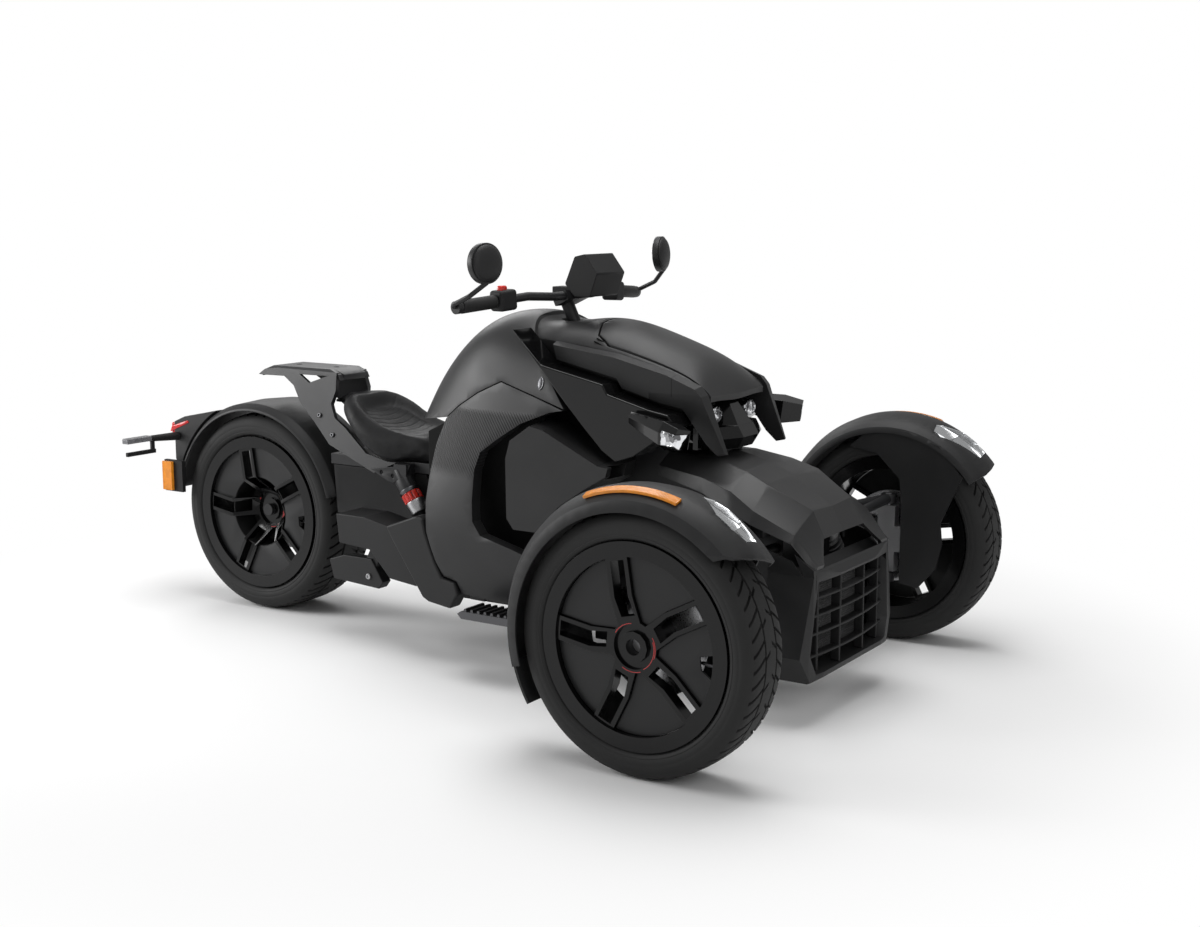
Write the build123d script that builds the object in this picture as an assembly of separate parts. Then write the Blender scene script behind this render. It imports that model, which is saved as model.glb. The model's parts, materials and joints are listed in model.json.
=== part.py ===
from build123d import *
import math
import os

# Three-wheeled motorcycle: two steered front wheels, one driven rear wheel.
# Frame: +X forward, +Y left, +Z up, floor at z = 0, millimetres.
# "Station" means the distance ahead of the front axle.

WHEELBASE = 1709.0
FRONT_TRACK = 1335.0
FIT = 0.3
RUN = 0.08

# Wheels
RIM_SEAT_R = 203.0
RIM_FLANGE = 23.0
FRONT_SECTION = 87.0
FRONT_TYRE_W = 145.0
REAR_SECTION = 92.5
REAR_TYRE_W = 205.0
RIM_WALL = 10.0
SPOKE_COUNT = 5
SPOKE_PITCH = 44.0
RIB_W = 10.0
SPOKE_DEPTH = 30.0
SPOKE_FOOT = 40.0
SPOKE_TURN = -13.0
COVER_T = 5.0
HUB_R = 56.0
NUT_R = 34.0
SPINDLE_R = 17.5
DISC_R = 128.0
DISC_T = 6.0
CUP_R = 110.0
CUP_DEPTH = 73.0

# Front suspension and steering
KINGPIN_INSET = 60.0
ARM_DROP = 110.0
KINGPIN_R = 9.0
ARM_TUBE_R = 13.0
COIL_TURNS = 8
COIL_PITCH = 18.0
STEERING_ARM = 92.0
ROD_R = 7.0
COLUMN_RAKE = 25.0
COLUMN_R = 17.0

# Mudguards
FENDER_CROWN = 52.0
FENDER_T = 5.0
FENDER_HALF_W = 87.0
REAR_FENDER_GAP = 18.0
REAR_FENDER_CROWN = 17.0
REAR_FENDER_HALF_W = 118.0

# Frame
BULKHEAD_HALF_W = 130.0
TOWER_HALF_W = 178.0
RAIL_Z = 165.0
RAIL_H = 40.0
RAIL_Y = 75.0
ENGINE_HALF_W = 150.0
SEAT_BASE_Z = 500.0

# Body
PANEL_T = 36.0
COWL_HALF_W = 150.0
COWL_FLOOR = 700.0
LID_T = 14.0
LID_GAP = 5.0
LID_PIN_R = 2.5
BLADE_T = 30.0
GAUGE_W = 132.0
BAR_HALF_W = 400.0
BAR_R = 11.0
GRIP_R = 17.0
MIRROR_R = 49.0
RACK_FOOT_Y = 118.0
RACK_HALF_W = 62.0
RACK_T = 14.0
RACK_TOP_Z = 734.0
RACK_HOLES = 145.0
TAIL_REACH = 22.5
TAIL_RISE = 226.5
TAIL_LENS_T = 18.0
PLATE_BOLTS = 146.0

FRONT_TYRE_R = RIM_SEAT_R + FRONT_SECTION
REAR_TYRE_R = RIM_SEAT_R + REAR_SECTION
RIM_LIP_R = RIM_SEAT_R + RIM_FLANGE
REAR_FENDER_R = REAR_TYRE_R + REAR_FENDER_GAP + REAR_FENDER_CROWN
OVERALL_LENGTH = FRONT_TYRE_R + WHEELBASE + REAR_FENDER_R + TAIL_REACH
FRONT_X = OVERALL_LENGTH / 2 - FRONT_TYRE_R
REAR_X = FRONT_X - WHEELBASE
HALF_TRACK = FRONT_TRACK / 2
KINGPIN_Y = HALF_TRACK - KINGPIN_INSET


def side_plane(y):
    return Plane(origin=(0, y, 0), x_dir=(1, 0, 0), z_dir=(0, -1, 0))


def outline(points, radius=0.0):
    if radius:
        return make_face(FilletPolyline(*points, radius=radius, close=True))
    return make_face(Polyline(*points, close=True))


def at_station(points):
    return [(FRONT_X + s, z) for s, z in points]


def side_plate(points, inner, outer, radius=0.0, taper=0.0):
    """Plate on the right-hand side, drawn in side view, from y = -inner to y = -outer."""
    face = side_plane(-inner) * outline(at_station(points), radius)
    return extrude(face, amount=outer - inner, taper=taper)


def through_plate(points, half_width, radius=0.0):
    """Block drawn in side view that spans the whole width."""
    return side_plate(points, -half_width, half_width, radius)


def box(s0, s1, y0, y1, z0, z1):
    return Pos(FRONT_X + (s0 + s1) / 2, (y0 + y1) / 2, (z0 + z1) / 2) * Box(s1 - s0, y1 - y0, z1 - z0)


def rod(start, end, radius, tip=None):
    a = Vector(*start)
    b = Vector(*end)
    plane = Plane(origin=a, z_dir=b - a)
    length = (b - a).length
    if tip is None:
        return plane * Cylinder(radius, length, align=(Align.CENTER, Align.CENTER, Align.MIN))
    return plane * Cone(radius, tip, length, align=(Align.CENTER, Align.CENTER, Align.MIN))


def ring(radius, bore, length):
    return Cylinder(radius, length) - Cylinder(bore, length * 2)


def across(shape):
    """Turns a shape that stands along Z to lie along Y."""
    return Rot(90, 0, 0) * shape


def left_of(shape):
    return mirror(shape, about=Plane.XZ)


def both(shape):
    return Compound(children=[*shape.solids(), *left_of(shape).solids()])


def spun(points):
    """Solid of revolution about Y from (radius, y) points."""
    return revolve(make_face(Polyline(*points, close=True)), axis=Axis.Y)


def arc_shell(points, first, last):
    """Section of (radius, y) points swept about Y from one angle above the forward direction to another."""
    face = make_face(Polyline(*points, close=True)).rotate(Axis.Y, -first)
    return revolve(face, axis=Axis((0, 0, 0), (0, -1, 0)), revolution_arc=last - first)


# Wheels, with the outer face towards -Y and the axle at the origin

def tyre(section, width):
    w = width / 2
    r0 = RIM_SEAT_R + FIT
    half = [(r0, w - 24), (RIM_SEAT_R + section * 0.6, w), (RIM_SEAT_R + section, w * 0.66)]
    return spun(half + [(r, -y) for r, y in reversed(half)])


def spoke_strip(shift_in, shift_out, v0, v1):
    """Strip that follows the kinked spoke, between two offsets from its middle."""
    mid = [(2.0, v0), (-6.0, 108.0), (0.0, v1)]
    left = [(u + shift_in, v) for u, v in mid]
    right = [(u + shift_out, v) for u, v in reversed(mid)]
    return Polyline(*left, *right, close=True)


def rim(width, cup):
    half = width / 2 - 2
    seat = width / 2 - 12.7
    inner = RIM_SEAT_R - RIM_WALL
    wheel = spun([(inner, -half), (RIM_LIP_R, -half), (RIM_LIP_R, -seat), (RIM_SEAT_R, -seat),
                  (RIM_SEAT_R, seat), (RIM_LIP_R, seat), (RIM_LIP_R, half), (inner, half)])
    front = half - 6
    back = front - SPOKE_DEPTH
    foot = CUP_R + 4 if cup else SPOKE_FOOT
    pair = make_face(spoke_strip(-SPOKE_PITCH / 2 - RIB_W / 2, SPOKE_PITCH / 2 + RIB_W / 2, foot,
                                 inner + 4))
    slot = make_face(spoke_strip(-SPOKE_PITCH / 2 + RIB_W / 2, SPOKE_PITCH / 2 - RIB_W / 2, foot + 26,
                                 inner - 8))
    spoke = extrude(side_plane(-back) * (pair - slot), amount=SPOKE_DEPTH)
    for k in range(SPOKE_COUNT):
        wheel += spoke.rotate(Axis.Y, SPOKE_TURN + k * 360 / SPOKE_COUNT)
    face = front - CUP_DEPTH if cup else front
    hub = across(Cylinder(HUB_R, face + 24, align=(Align.CENTER, Align.CENTER, Align.MIN)))
    wheel += Pos(0, 24, 0) * hub
    if cup:
        wheel += spun([(HUB_R - 4, -face), (CUP_R, -face), (CUP_R, -front), (CUP_R + RIB_W, -front),
                       (CUP_R + RIB_W, -face + RIB_W), (HUB_R - 4, -face + RIB_W)])
    wheel -= Pos(0, -face, 0) * across(Cylinder(HUB_R - 8, 16))
    nut = across(extrude(RegularPolygon(NUT_R, 12), amount=18))
    wheel += Pos(0, -face + 17, 0) * nut
    wheel -= across(Cylinder(SPINDLE_R + RUN, 4 * half))
    return wheel


def covers(width, cup):
    half = width / 2 - 2
    face = half - 14
    start = CUP_R + RIB_W if cup else HUB_R
    band = Circle(RIM_SEAT_R - RIM_WALL - FIT) - Circle(start + FIT)
    edge = SPOKE_PITCH / 2 + RIB_W / 2 + FIT
    foot = CUP_R + 4 if cup else SPOKE_FOOT
    for k in range(SPOKE_COUNT):
        gap = make_face(spoke_strip(-edge, edge, foot, RIM_SEAT_R - RIM_WALL + 4))
        band -= Rot(0, 0, -SPOKE_TURN + k * 360 / SPOKE_COUNT) * gap
    plates = extrude(side_plane(-face + COVER_T) * band, amount=COVER_T)
    return plates


def rim_and_covers(width, cup=False):
    return Compound(children=[*rim(width, cup).solids(), *covers(width, cup).solids()])


def brake_disc():
    carrier = across(ring(HUB_R + 6, SPINDLE_R + 12, 6))
    rotor = across(ring(DISC_R, HUB_R + 5, DISC_T))
    return Pos(0, 24 + FIT + DISC_T / 2, 0) * (carrier + rotor)


def place_right(shape):
    return Pos(FRONT_X, -HALF_TRACK, FRONT_TYRE_R) * shape


def place_left(shape):
    return Pos(FRONT_X, HALF_TRACK, FRONT_TYRE_R) * Rot(0, 0, 180) * shape


def place_rear(shape):
    return Pos(REAR_X, 0, REAR_TYRE_R) * shape


front_tyre = tyre(FRONT_SECTION, FRONT_TYRE_W)
front_rim = rim_and_covers(FRONT_TYRE_W)
front_disc = brake_disc()

# Knuckle of the right-hand side, drawn in the wheel's own frame (inboard is +Y)

KINGPIN = KINGPIN_INSET
SHIELD_Y = FRONT_TYRE_W / 2 + 6

pin_top = ARM_DROP + 14
knuckle = Pos(0, KINGPIN, 0) * Box(50, 30, 2 * ARM_DROP - 36)
knuckle += rod((0, KINGPIN, 0), (0, -38, 0), SPINDLE_R)
knuckle += rod((0, KINGPIN - 16, 0), (0, 32, 0), 46, 34)
knuckle += Pos(0, KINGPIN, 0) * Cylinder(KINGPIN_R, 2 * pin_top)
knuckle += Pos(-STEERING_ARM / 2 - 5, KINGPIN + 4, -40) * Box(STEERING_ARM + 10, 18, 22)
knuckle -= Pos(-STEERING_ARM, KINGPIN + 4, -40) * Cylinder(5 + RUN, 60)
knuckle += Pos(52, KINGPIN + (SHIELD_Y - FIT - KINGPIN) / 2, 0) * Box(60, SHIELD_Y - FIT - KINGPIN, 70)

tie_rod_end = Pos(-STEERING_ARM, KINGPIN + 4, -40) * Cylinder(5, 40)
tie_rod_end += Pos(-STEERING_ARM, KINGPIN + 4, -40 - 11 - 9) * Cylinder(13, 16)
tie_rod_end += rod((-STEERING_ARM, KINGPIN + 4, -60), (-STEERING_ARM, HALF_TRACK - 110, -60), ROD_R)

caliper = Pos(-DISC_R + 18, 27.3, 30) * Box(62, 40, 96)
caliper -= Pos(0, 27.3, 0) * across(Cylinder(DISC_R + 5, DISC_T + 10))
caliper -= Pos(0, 27.3, 0) * across(Cylinder(DISC_R - 46, 100))
caliper += Pos(-DISC_R + 38, KINGPIN - 6, 30) * Box(66, 16, 40)
caliper += Pos(-46, KINGPIN - 3, 30) * Box(2 * (46 - 25 - FIT), 18, 36)

# Front end of the mudguard and its clear lens, each as (distance down the front, distance inboard)
FENDER_END_ANGLE = 40
FENDER_END = [(60, 120), (20, 88), (22, 40), (14, 0), (3, -38), (-14, -66), (-34, -82), (-62, -90),
              (-62, -140),
              (200, -140), (200, 120)]
LENS_ANGLE = 57
FRONT_LENS = [(-76, 20), (-64, 56), (-38, 62), (17, 38), (74, 18), (68, -21), (30, -32), (-14, -30)]

# Mudguard: crowned arch about the axle, inner splash plate and the stay down to the knuckle
crown = FRONT_TYRE_R + FENDER_CROWN
w = FENDER_HALF_W
lip = FRONT_TYRE_R - 2
skin = [(lip, -w), (crown - 28, -w + 7), (crown - 8, -w + 34), (crown, -w + 58), (crown - 2, 10),
        (crown - 14, w - 30), (crown - 32, w - 6), (lip + 6, w)]
under = [(lip + 6, w - FENDER_T), (crown - 36, w - 12), (crown - 20, w - 33), (crown - 8, 8),
         (crown - 6, -w + 58), (crown - 14, -w + 37), (crown - 33, -w + 13), (lip, -w + FENDER_T)]
fender = arc_shell(skin + under, 34, 196)
flap = arc_shell([(crown - 26, -w + 22), (crown - 20, -w + 22), (crown - 22, w - 24), (crown - 28, w - 24)],
                 194, 212)
fender += flap


def polar(radius, angle):
    return (radius * math.cos(math.radians(angle)), radius * math.sin(math.radians(angle)))


shield = side_plane(SHIELD_Y + FENDER_T) * outline(
    [(46, -120), (100, -128), (150, -70), (166, 0), (160, 60), polar(lip, 41), polar(lip + 19, 61),
     polar(lip + 18, 79),
     polar(lip + 14, 101), polar(lip - 15, 114), polar(lip - 50, 97), polar(lip - 114, 77), (46, 100)])
fender += extrude(shield, amount=FENDER_T)


def crown_block(points, angle, grow):
    """Prism that stands on the crown at an angle, drawn as (distance down the front, distance inboard)."""
    a = math.radians(angle)
    plane = Plane(origin=(0, 0, 0), x_dir=(math.sin(a), 0, -math.cos(a)),
                  z_dir=(math.cos(a), 0, math.sin(a)))
    return extrude(plane * offset(make_face(Polyline(*points, close=True)), amount=grow), amount=2 * crown)


lens_band = [(crown + 1, -60), (crown + 1, -29), (crown - 1, 10), (crown - 13, w - 30),
             (crown - 20, w - 18)]
lens_shell = arc_shell(lens_band + [(r - 9, y) for r, y in reversed(lens_band)], 36, 78)
lens_shell &= crown_block(FRONT_LENS, LENS_ANGLE, -FIT)
lens_seat = crown_block(FRONT_LENS, LENS_ANGLE, 0) - across(Cylinder(crown - 45, 300))
fender -= crown_block(FENDER_END, FENDER_END_ANGLE, 0) - across(Cylinder(FRONT_TYRE_R - 30, 300))
marker_shell = arc_shell([(crown - 15.5, -w + 20), (crown - 9, -w + 18), (crown - 1.5, -w + 38),
                          (crown - 8, -w + 40)],
                         72, 112)
marker_seat = arc_shell([(crown - 15.8, -w + 19.7), (crown + 9, -w + 17), (crown + 9, -w + 38.4),
                         (crown - 8.2, -w + 40.3)], 71.9, 112.1)
fender = fender - lens_seat - marker_seat

# Arms, from the kingpin eyes to the bulkhead

def arm(drop, brace):
    eye = (FRONT_X, -KINGPIN_Y, FRONT_TYRE_R + drop)
    front_leg = (FRONT_X + 25, -BULKHEAD_HALF_W + 20, FRONT_TYRE_R + drop * 0.95)
    rear_leg = (FRONT_X - 140, -BULKHEAD_HALF_W + 20, FRONT_TYRE_R + drop * 0.95)
    shape = rod(eye, front_leg, ARM_TUBE_R) + rod(eye, rear_leg, ARM_TUBE_R)
    shape += Pos(*eye) * Cylinder(21, 26)
    if brace:
        shape += Pos(FRONT_X - 30, -KINGPIN_Y + 190, FRONT_TYRE_R + drop) * Box(78, 44, 14)
    shape -= Pos(*eye) * Cylinder(KINGPIN_R + RUN, 80)
    shape -= box(-300, 300, -BULKHEAD_HALF_W - FIT, BULKHEAD_HALF_W, 0, 700)
    return shape


upper_arm = arm(ARM_DROP, False)
lower_arm = arm(-ARM_DROP, True)

shock_foot = (FRONT_X - 30, -KINGPIN_Y + 190, FRONT_TYRE_R - ARM_DROP + 7 + 2 * FIT)
shock_head = (FRONT_X - 30, -170, 468)
axis_line = Vector(*shock_head) - Vector(*shock_foot)
coil = [(0, 14), (13, 14), (13, 60), (34, 60), (34, 68)]
for k in range(COIL_TURNS):
    coil += [(24, 72 + k * COIL_PITCH), (24, 77 + k * COIL_PITCH), (32, 80 + k * COIL_PITCH),
             (32, 86 + k * COIL_PITCH)]
coil += [(34, 72 + COIL_TURNS * COIL_PITCH), (34, 80 + COIL_TURNS * COIL_PITCH),
         (14, 80 + COIL_TURNS * COIL_PITCH),
         (14, axis_line.length), (0, axis_line.length)]
coil_face = Plane.XZ * make_face(Polyline(*coil, close=True))
shock = Plane(origin=Vector(*shock_foot), z_dir=axis_line) * revolve(coil_face, axis=Axis.Z)
shock += Pos(shock_foot[0], shock_foot[1], shock_foot[2] + 12) * Box(12, 18, 24)
shock -= box(-200, 200, -TOWER_HALF_W - FIT, TOWER_HALF_W + FIT, 300, 700)

# Body volume that the tank cover and the side panels are cut from

BODY_STATIONS = [
    (-1044, [(195, 160), (232, 300), (214, 450), (164, 572), (82, 612), (0, 620)]),
    (-1000, [(203, 160), (240, 300), (222, 460), (170, 620), (88, 736), (0, 757)]),
    (-930, [(213, 160), (250, 300), (232, 470), (186, 655), (104, 814), (0, 842)]),
    (-840, [(222, 160), (258, 300), (240, 490), (201, 700), (114, 878), (0, 906)]),
    (-700, [(228, 160), (264, 300), (248, 510), (214, 735), (128, 896), (0, 926)]),
    (-560, [(232, 160), (268, 300), (256, 530), (228, 725), (158, 868), (0, 908)]),
    (-400, [(225, 160), (258, 300), (256, 520), (238, 690), (170, 820), (0, 880)]),
]


def body_volume(inset):
    sections = []
    for station, half in BODY_STATIONS:
        pts = [(y - inset, z) for y, z in half[:-2]]
        pts.append((half[-2][0] - inset * 0.7, half[-2][1] - inset * 0.7))
        top = (0, half[-1][1] - inset)
        loop = pts + [top] + [(-y, z) for y, z in reversed(pts)]
        plane = Plane(origin=(FRONT_X + station, 0, 0), x_dir=(0, 1, 0), z_dir=(1, 0, 0))
        sections.append(plane * make_face([Spline(*loop), Line(loop[-1], loop[0])]))
    return loft(sections)


body = body_volume(0)
body_inner = body_volume(PANEL_T)

SEAM = [(-1090, 622), (-913, 649), (-869, 683), (-803, 722), (-723, 757), (-614, 729), (-510, 702)]
DIAG_TOP = (-690, 916)
column_top = (FRONT_X - 655, 0, 940)
rake = math.radians(COLUMN_RAKE)
column_dir = Vector(math.sin(rake), 0, -math.cos(rake))


def on_column(distance):
    p = Vector(*column_top) + column_dir * distance
    return (p.X, p.Y, p.Z)


column_space = rod(on_column(-60), on_column(600), COLUMN_R + 12)

tank_cover = body & through_plate(SEAM + [DIAG_TOP, (-700, 960), (-1090, 960)], 400)
tank_cover -= column_space

PANEL = [(-913, 646), (-869, 680), (-803, 719), (-723, 754), (-614, 726), (-512, 698),
         (-555, 690), (-645, 655), (-715, 612), (-772, 572), (-788, 524), (-788, 445), (-782, 393),
         (-755, 360), (-650, 336), (-520, 300), (-405, 215), (-430, 176), (-652, 179), (-836, 192),
         (-846, 225), (-889, 233),
         (-912, 271), (-944, 349), (-952, 429), (-948, 500), (-938, 580)]
side_panels = (body - body_inner) & through_plate(PANEL, 400)

# Engine: one plain block, and its side covers in the panels' opening
ENGINE = [(-1010, RAIL_Z + RAIL_H + FIT), (-560, RAIL_Z + RAIL_H + FIT), (-560, 560), (-640, 690),
          (-730, 740), (-803, 718), (-869, 679),
          (-913, 645), (-1010, 600)]
engine_block = through_plate(ENGINE, ENGINE_HALF_W)
COVER = [(-668, 622), (-600, 668), (-555, 660), (-392, 584), (-350, 580), (-362, 540), (-430, 500),
         (-505, 450),
         (-556, 376), (-655, 376), (-682, 410), (-684, 570)]
engine_cover = side_plate(COVER, ENGINE_HALF_W + FIT, 262, 0, 6)
duct = side_plate([(-470, 560), (-395, 572), (-340, 574), (-340, 548), (-470, 520)], 190, 246)
engine_cover -= duct

# Upper cowl with storage bin, its lid, side blades and shoulder panels

COWL_STATIONS = [
    (-700, [(150, 872), (96, 912), (0, 924)]),
    (-560, [(150, 858), (98, 896), (0, 910)]),
    (-400, [(150, 834), (96, 876), (0, 894)]),
    (-260, [(148, 800), (92, 832), (0, 846)]),
    (-195, [(146, 776), (90, 798), (0, 810)]),
    (-152, [(140, 746), (88, 746), (0, 742)]),
]


def cowl_volume(drop):
    sections = []
    for station, half in COWL_STATIONS:
        top = [(y, z - drop) for y, z in half]
        arc = top + [(-y, z) for y, z in reversed(top[:-1])]
        low = COWL_FLOOR
        plane = Plane(origin=(FRONT_X + station, 0, 0), x_dir=(0, 1, 0), z_dir=(1, 0, 0))
        curve = [Spline(*arc), Line(arc[-1], (arc[-1][0], low)), Line((arc[-1][0], low), (arc[0][0], low)),
                 Line((arc[0][0], low), arc[0])]
        sections.append(plane * make_face(curve))
    return loft(sections)


cowl_full = cowl_volume(0) & through_plate([(-800, 600), (0, 600), (0, 1000), (-800, 1000)], COWL_HALF_W)
cowl_low = cowl_volume(LID_T + LID_GAP)
cowl_under = cowl_volume(LID_T)
LID_PLAN = [(-500, -70), (-480, -118), (-440, -136), (-100, -136), (-100, 136), (-440, 136), (-480, 118),
            (-500, 70)]


def plan_block(points, grow, z0, z1):
    face = make_face(Polyline(*[(FRONT_X + s, y) for s, y in points], close=True))
    if grow:
        face = offset(face, amount=grow)
    return Pos(0, 0, z0) * extrude(face, amount=z1 - z0)


HINGE_S = -160
HINGE_Z = 746
HINGE_Y = 80
HEAD_BACK = -206
HEAD_TOP = 724
lid_zone = plan_block(LID_PLAN, 0, 600, 1000)
lid_well = plan_block(LID_PLAN, LID_GAP, 600, 1000)
storage_lid = (cowl_full - cowl_under) & lid_zone
cowl = (cowl_full - lid_well) + (cowl_low & lid_well)
bin_room = box(-440, -230, -100, 100, 712, 1000)
cowl -= bin_room
tank_side = through_plate([(SEAM[-1][0] + FIT, SEAM[-1][1] - 40), (SEAM[-1][0] + FIT, SEAM[-1][1]),
                           (DIAG_TOP[0] + FIT, DIAG_TOP[1]), (DIAG_TOP[0], 1000), (-900, 1000),
                           (-900, 600)], 400)
cowl -= tank_side
cowl -= column_space
cowl -= box(HEAD_BACK - FIT, 0, -300, 300, 600, HEAD_TOP + FIT)
cowl -= box(HINGE_S - 27, 0, -LID_PLAN[4][1] - LID_GAP, LID_PLAN[4][1] + LID_GAP, 600, 1000)
LUG = [(HINGE_S - 30, HINGE_Z - 20), (HINGE_S - 8, HINGE_Z - 8), (HINGE_S, HINGE_Z - 5),
       (HINGE_S + 4, HINGE_Z - 2),
       (HINGE_S + 4, HINGE_Z + 3), (HINGE_S, HINGE_Z + 5), (HINGE_S - 8, HINGE_Z + 4),
       (HINGE_S - 30, HINGE_Z)]
for side in (-1, 1):
    lug = Pos(0, side * HINGE_Y, 0) * through_plate(LUG, 5)
    pin = across(Cylinder(LID_PIN_R, 34)).moved(Location((FRONT_X + HINGE_S, side * HINGE_Y, HINGE_Z)))
    cowl += lug + pin
    room = across(Cylinder(7, 12)).moved(Location((FRONT_X + HINGE_S, side * HINGE_Y, HINGE_Z)))
    room += box(HINGE_S - 40, HINGE_S, side * HINGE_Y - 6, side * HINGE_Y + 6, HINGE_Z - 60, HINGE_Z + 7)
    storage_lid -= room
    storage_lid -= across(Cylinder(LID_PIN_R + RUN,
                                   36)).moved(Location((FRONT_X + HINGE_S, side * HINGE_Y, HINGE_Z)))

BLADE = [(-590, 862), (-400, 838), (-251, 803), (-168, 772), (-150, 752), (-94, 612), (-120, 606),
         (-150, 632),
         (-211, 712), (-267, 721), (-381, 751), (-396, 774), (-575, 812)]
front_plane = Plane(origin=(FRONT_X, 0, 0), x_dir=(0, 1, 0), z_dir=(1, 0, 0))
blade = side_plate(BLADE, COWL_HALF_W + FIT, COWL_HALF_W + BLADE_T, 0, 12)
blade_top = -COWL_HALF_W - BLADE_T
blade_lean = make_face(Polyline((blade_top + 20, 600), (blade_top, 752), (-300, 752), (-300, 600),
                                close=True))
blade -= extrude(front_plane * blade_lean, amount=-300)
SHOULDER = [(-668, 894), (-580, 808), (-398, 770), (-384, 747), (-268, 717), (-214, 708), (-190, 680),
            (-310, 600),
            (-362, 582), (-400, 606), (-458, 664), (-500, 708)]
shoulder = side_plate(SHOULDER, COWL_HALF_W + FIT, 236)

# Headlamp unit and lamps
HEAD_HALF_W = 126
CHIN_Z = 612
HEAD_POST = (-205, -160)
POST_HALF_W = 45
LAMP_Y = 88
LAMP_Z = 697
LAMP_R = 24


def level(points, z):
    """Plan face, drawn from the right-hand half."""
    loop = points + [(s, -y) for s, y in reversed(points)]
    return Plane.XY.offset(z) * make_face(Polyline(*[(FRONT_X + s, y) for s, y in loop], close=True))


headlight_unit = box(HEAD_BACK, HEAD_BACK + 14, -HEAD_HALF_W, HEAD_HALF_W, CHIN_Z, HEAD_TOP)
headlight_unit += loft([level([(HEAD_BACK, -104), (-150, -92), (-128, -36)], CHIN_Z),
                        level([(HEAD_BACK, -HEAD_HALF_W), (-140, -108), (-112, -40)], CHIN_Z + 28),
                        level([(HEAD_BACK, -HEAD_HALF_W), (-158, -112), (-128, -40)], LAMP_Z - LAMP_R - 6)],
                        ruled=True)
headlight_unit += loft([level([(HEAD_BACK, -66), (-129, -38)], LAMP_Z - LAMP_R - 7),
                        level([(HEAD_BACK, -50), (-166, -20)], HEAD_TOP)], ruled=True)
for side in (-1, 1):
    lamp_seat = rod((FRONT_X + HEAD_BACK + 14, side * LAMP_Y, LAMP_Z), (FRONT_X, side * LAMP_Y, LAMP_Z),
                    LAMP_R + 3)
    headlight_unit -= lamp_seat
    headlight_unit += rod((FRONT_X + HEAD_BACK + 10, side * LAMP_Y, LAMP_Z),
                          (FRONT_X + HEAD_BACK + 28, side * LAMP_Y, LAMP_Z), LAMP_R - 2, LAMP_R)
lamp_body = rod((FRONT_X + HEAD_BACK + 28 + FIT, -LAMP_Y, LAMP_Z),
                (FRONT_X + HEAD_BACK + 44, -LAMP_Y, LAMP_Z), LAMP_R, LAMP_R - 4)

aux_root = (FRONT_X - 305, -238 - FIT, 690)
aux_tip = (FRONT_X - 128, -314, 664)
aux_axis = Plane(origin=Vector(*aux_root), z_dir=Vector(*aux_tip) - Vector(*aux_root), x_dir=(0, -1, 0))
aux_length = (Vector(*aux_tip) - Vector(*aux_root)).length
AUX_SECTIONS = [(0.0, 0.52), (0.4, 0.8), (0.74, 1.0), (1.0, 0.74)]
AUX_FACE = [(-30, -26), (22, -34), (34, -8), (30, 22), (6, 36), (-30, 34)]
AUX_LENS_L = 42


def aux_section(share, scale):
    points = [(x * scale, y * scale - 10 * (1 - scale)) for x, y in AUX_FACE]
    return aux_axis.offset(share * aux_length) * make_face(Polyline(*points, close=True))


aux_pod = loft([aux_section(*section) for section in AUX_SECTIONS], ruled=True)
aux_pod -= side_plate([(-600, 400), (0, 400), (0, 900), (-600, 900)], 0, 236 + FIT)
aux_lamp = aux_pod - aux_axis * (Pos(14, 4, aux_length) * Box(64, 36, 2 * AUX_LENS_L))
aux_lens = aux_pod & aux_axis * (Pos(14 + FIT, 4, aux_length) * Box(64 - FIT, 36 - 2 * FIT,
                                                                    2 * AUX_LENS_L - 2 * FIT))

# Nose: hood shell, bumper frame, grille and radiator

HOOD_STATIONS = [
    (-290, [(150, 546), (146, 570), (96, 596), (0, 602)]),
    (-150, [(186, 522), (178, 556), (100, 592), (0, 602)]),
    (-60, [(212, 490), (200, 534), (124, 572), (0, 580)]),
    (5, [(222, 464), (210, 496), (140, 548), (0, 552)]),
    (110, [(222, 430), (206, 448), (107, 491), (0, 486)]),
    (168, [(206, 362), (200, 380), (110, 377), (0, 372)]),
]
HOOD_MOUTH = [(-192, 350), (-112, 428), (112, 428), (192, 350)]


def hood_volume(inset, s_shift):
    sections = []
    for k, (station, half) in enumerate(HOOD_STATIONS):
        pts = [(y - inset, z - inset) for y, z in half[:-1]] + [(0, half[-1][1] - inset)]
        floor = half[0][1] - (40 if inset else 0)
        pts = [(pts[0][0], floor)] + pts if inset else pts
        loop = pts + [(-y, z) for y, z in reversed(pts[:-1])]
        shift = s_shift if k == len(HOOD_STATIONS) - 1 else 0
        plane = Plane(origin=(FRONT_X + station - shift, 0, 0), x_dir=(0, 1, 0), z_dir=(1, 0, 0))
        sections.append(plane * make_face(Polyline(*loop, close=True)))
    return loft(sections, ruled=True)


nose_hood = hood_volume(0, 0) - hood_volume(7, 9)
post_half = POST_HALF_W + FIT
nose_hood -= box(HEAD_POST[0] - FIT, HEAD_POST[1] + FIT, -post_half, post_half, 500, CHIN_Z)
nose_hood -= extrude(front_plane.offset(110) * make_face(Polyline(*HOOD_MOUTH, close=True)), amount=100)

BUMPER = [(48, 446), (100, 422), (174, 368), (182, 350), (174, 112), (156, 104), (78, 104), (48, 150)]
BUMPER_HALF = [(219, 104), (262, 172), (214, 356), (226, 460)]
MOUTH_FRONT = [(206, 122), (248, 172), (202, 346)]
MOUTH_BACK = [(186, 128), (190, 172), (186, 340)]
MOUTH_S = 118


def front_face(half, station, grow=0.0):
    """Face across the nose, drawn from its left-hand half."""
    loop = half + [(-y, z) for y, z in reversed(half)]
    face = make_face(Polyline(*loop, close=True))
    return front_plane.offset(station) * (offset(face, amount=grow) if grow else face)


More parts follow.
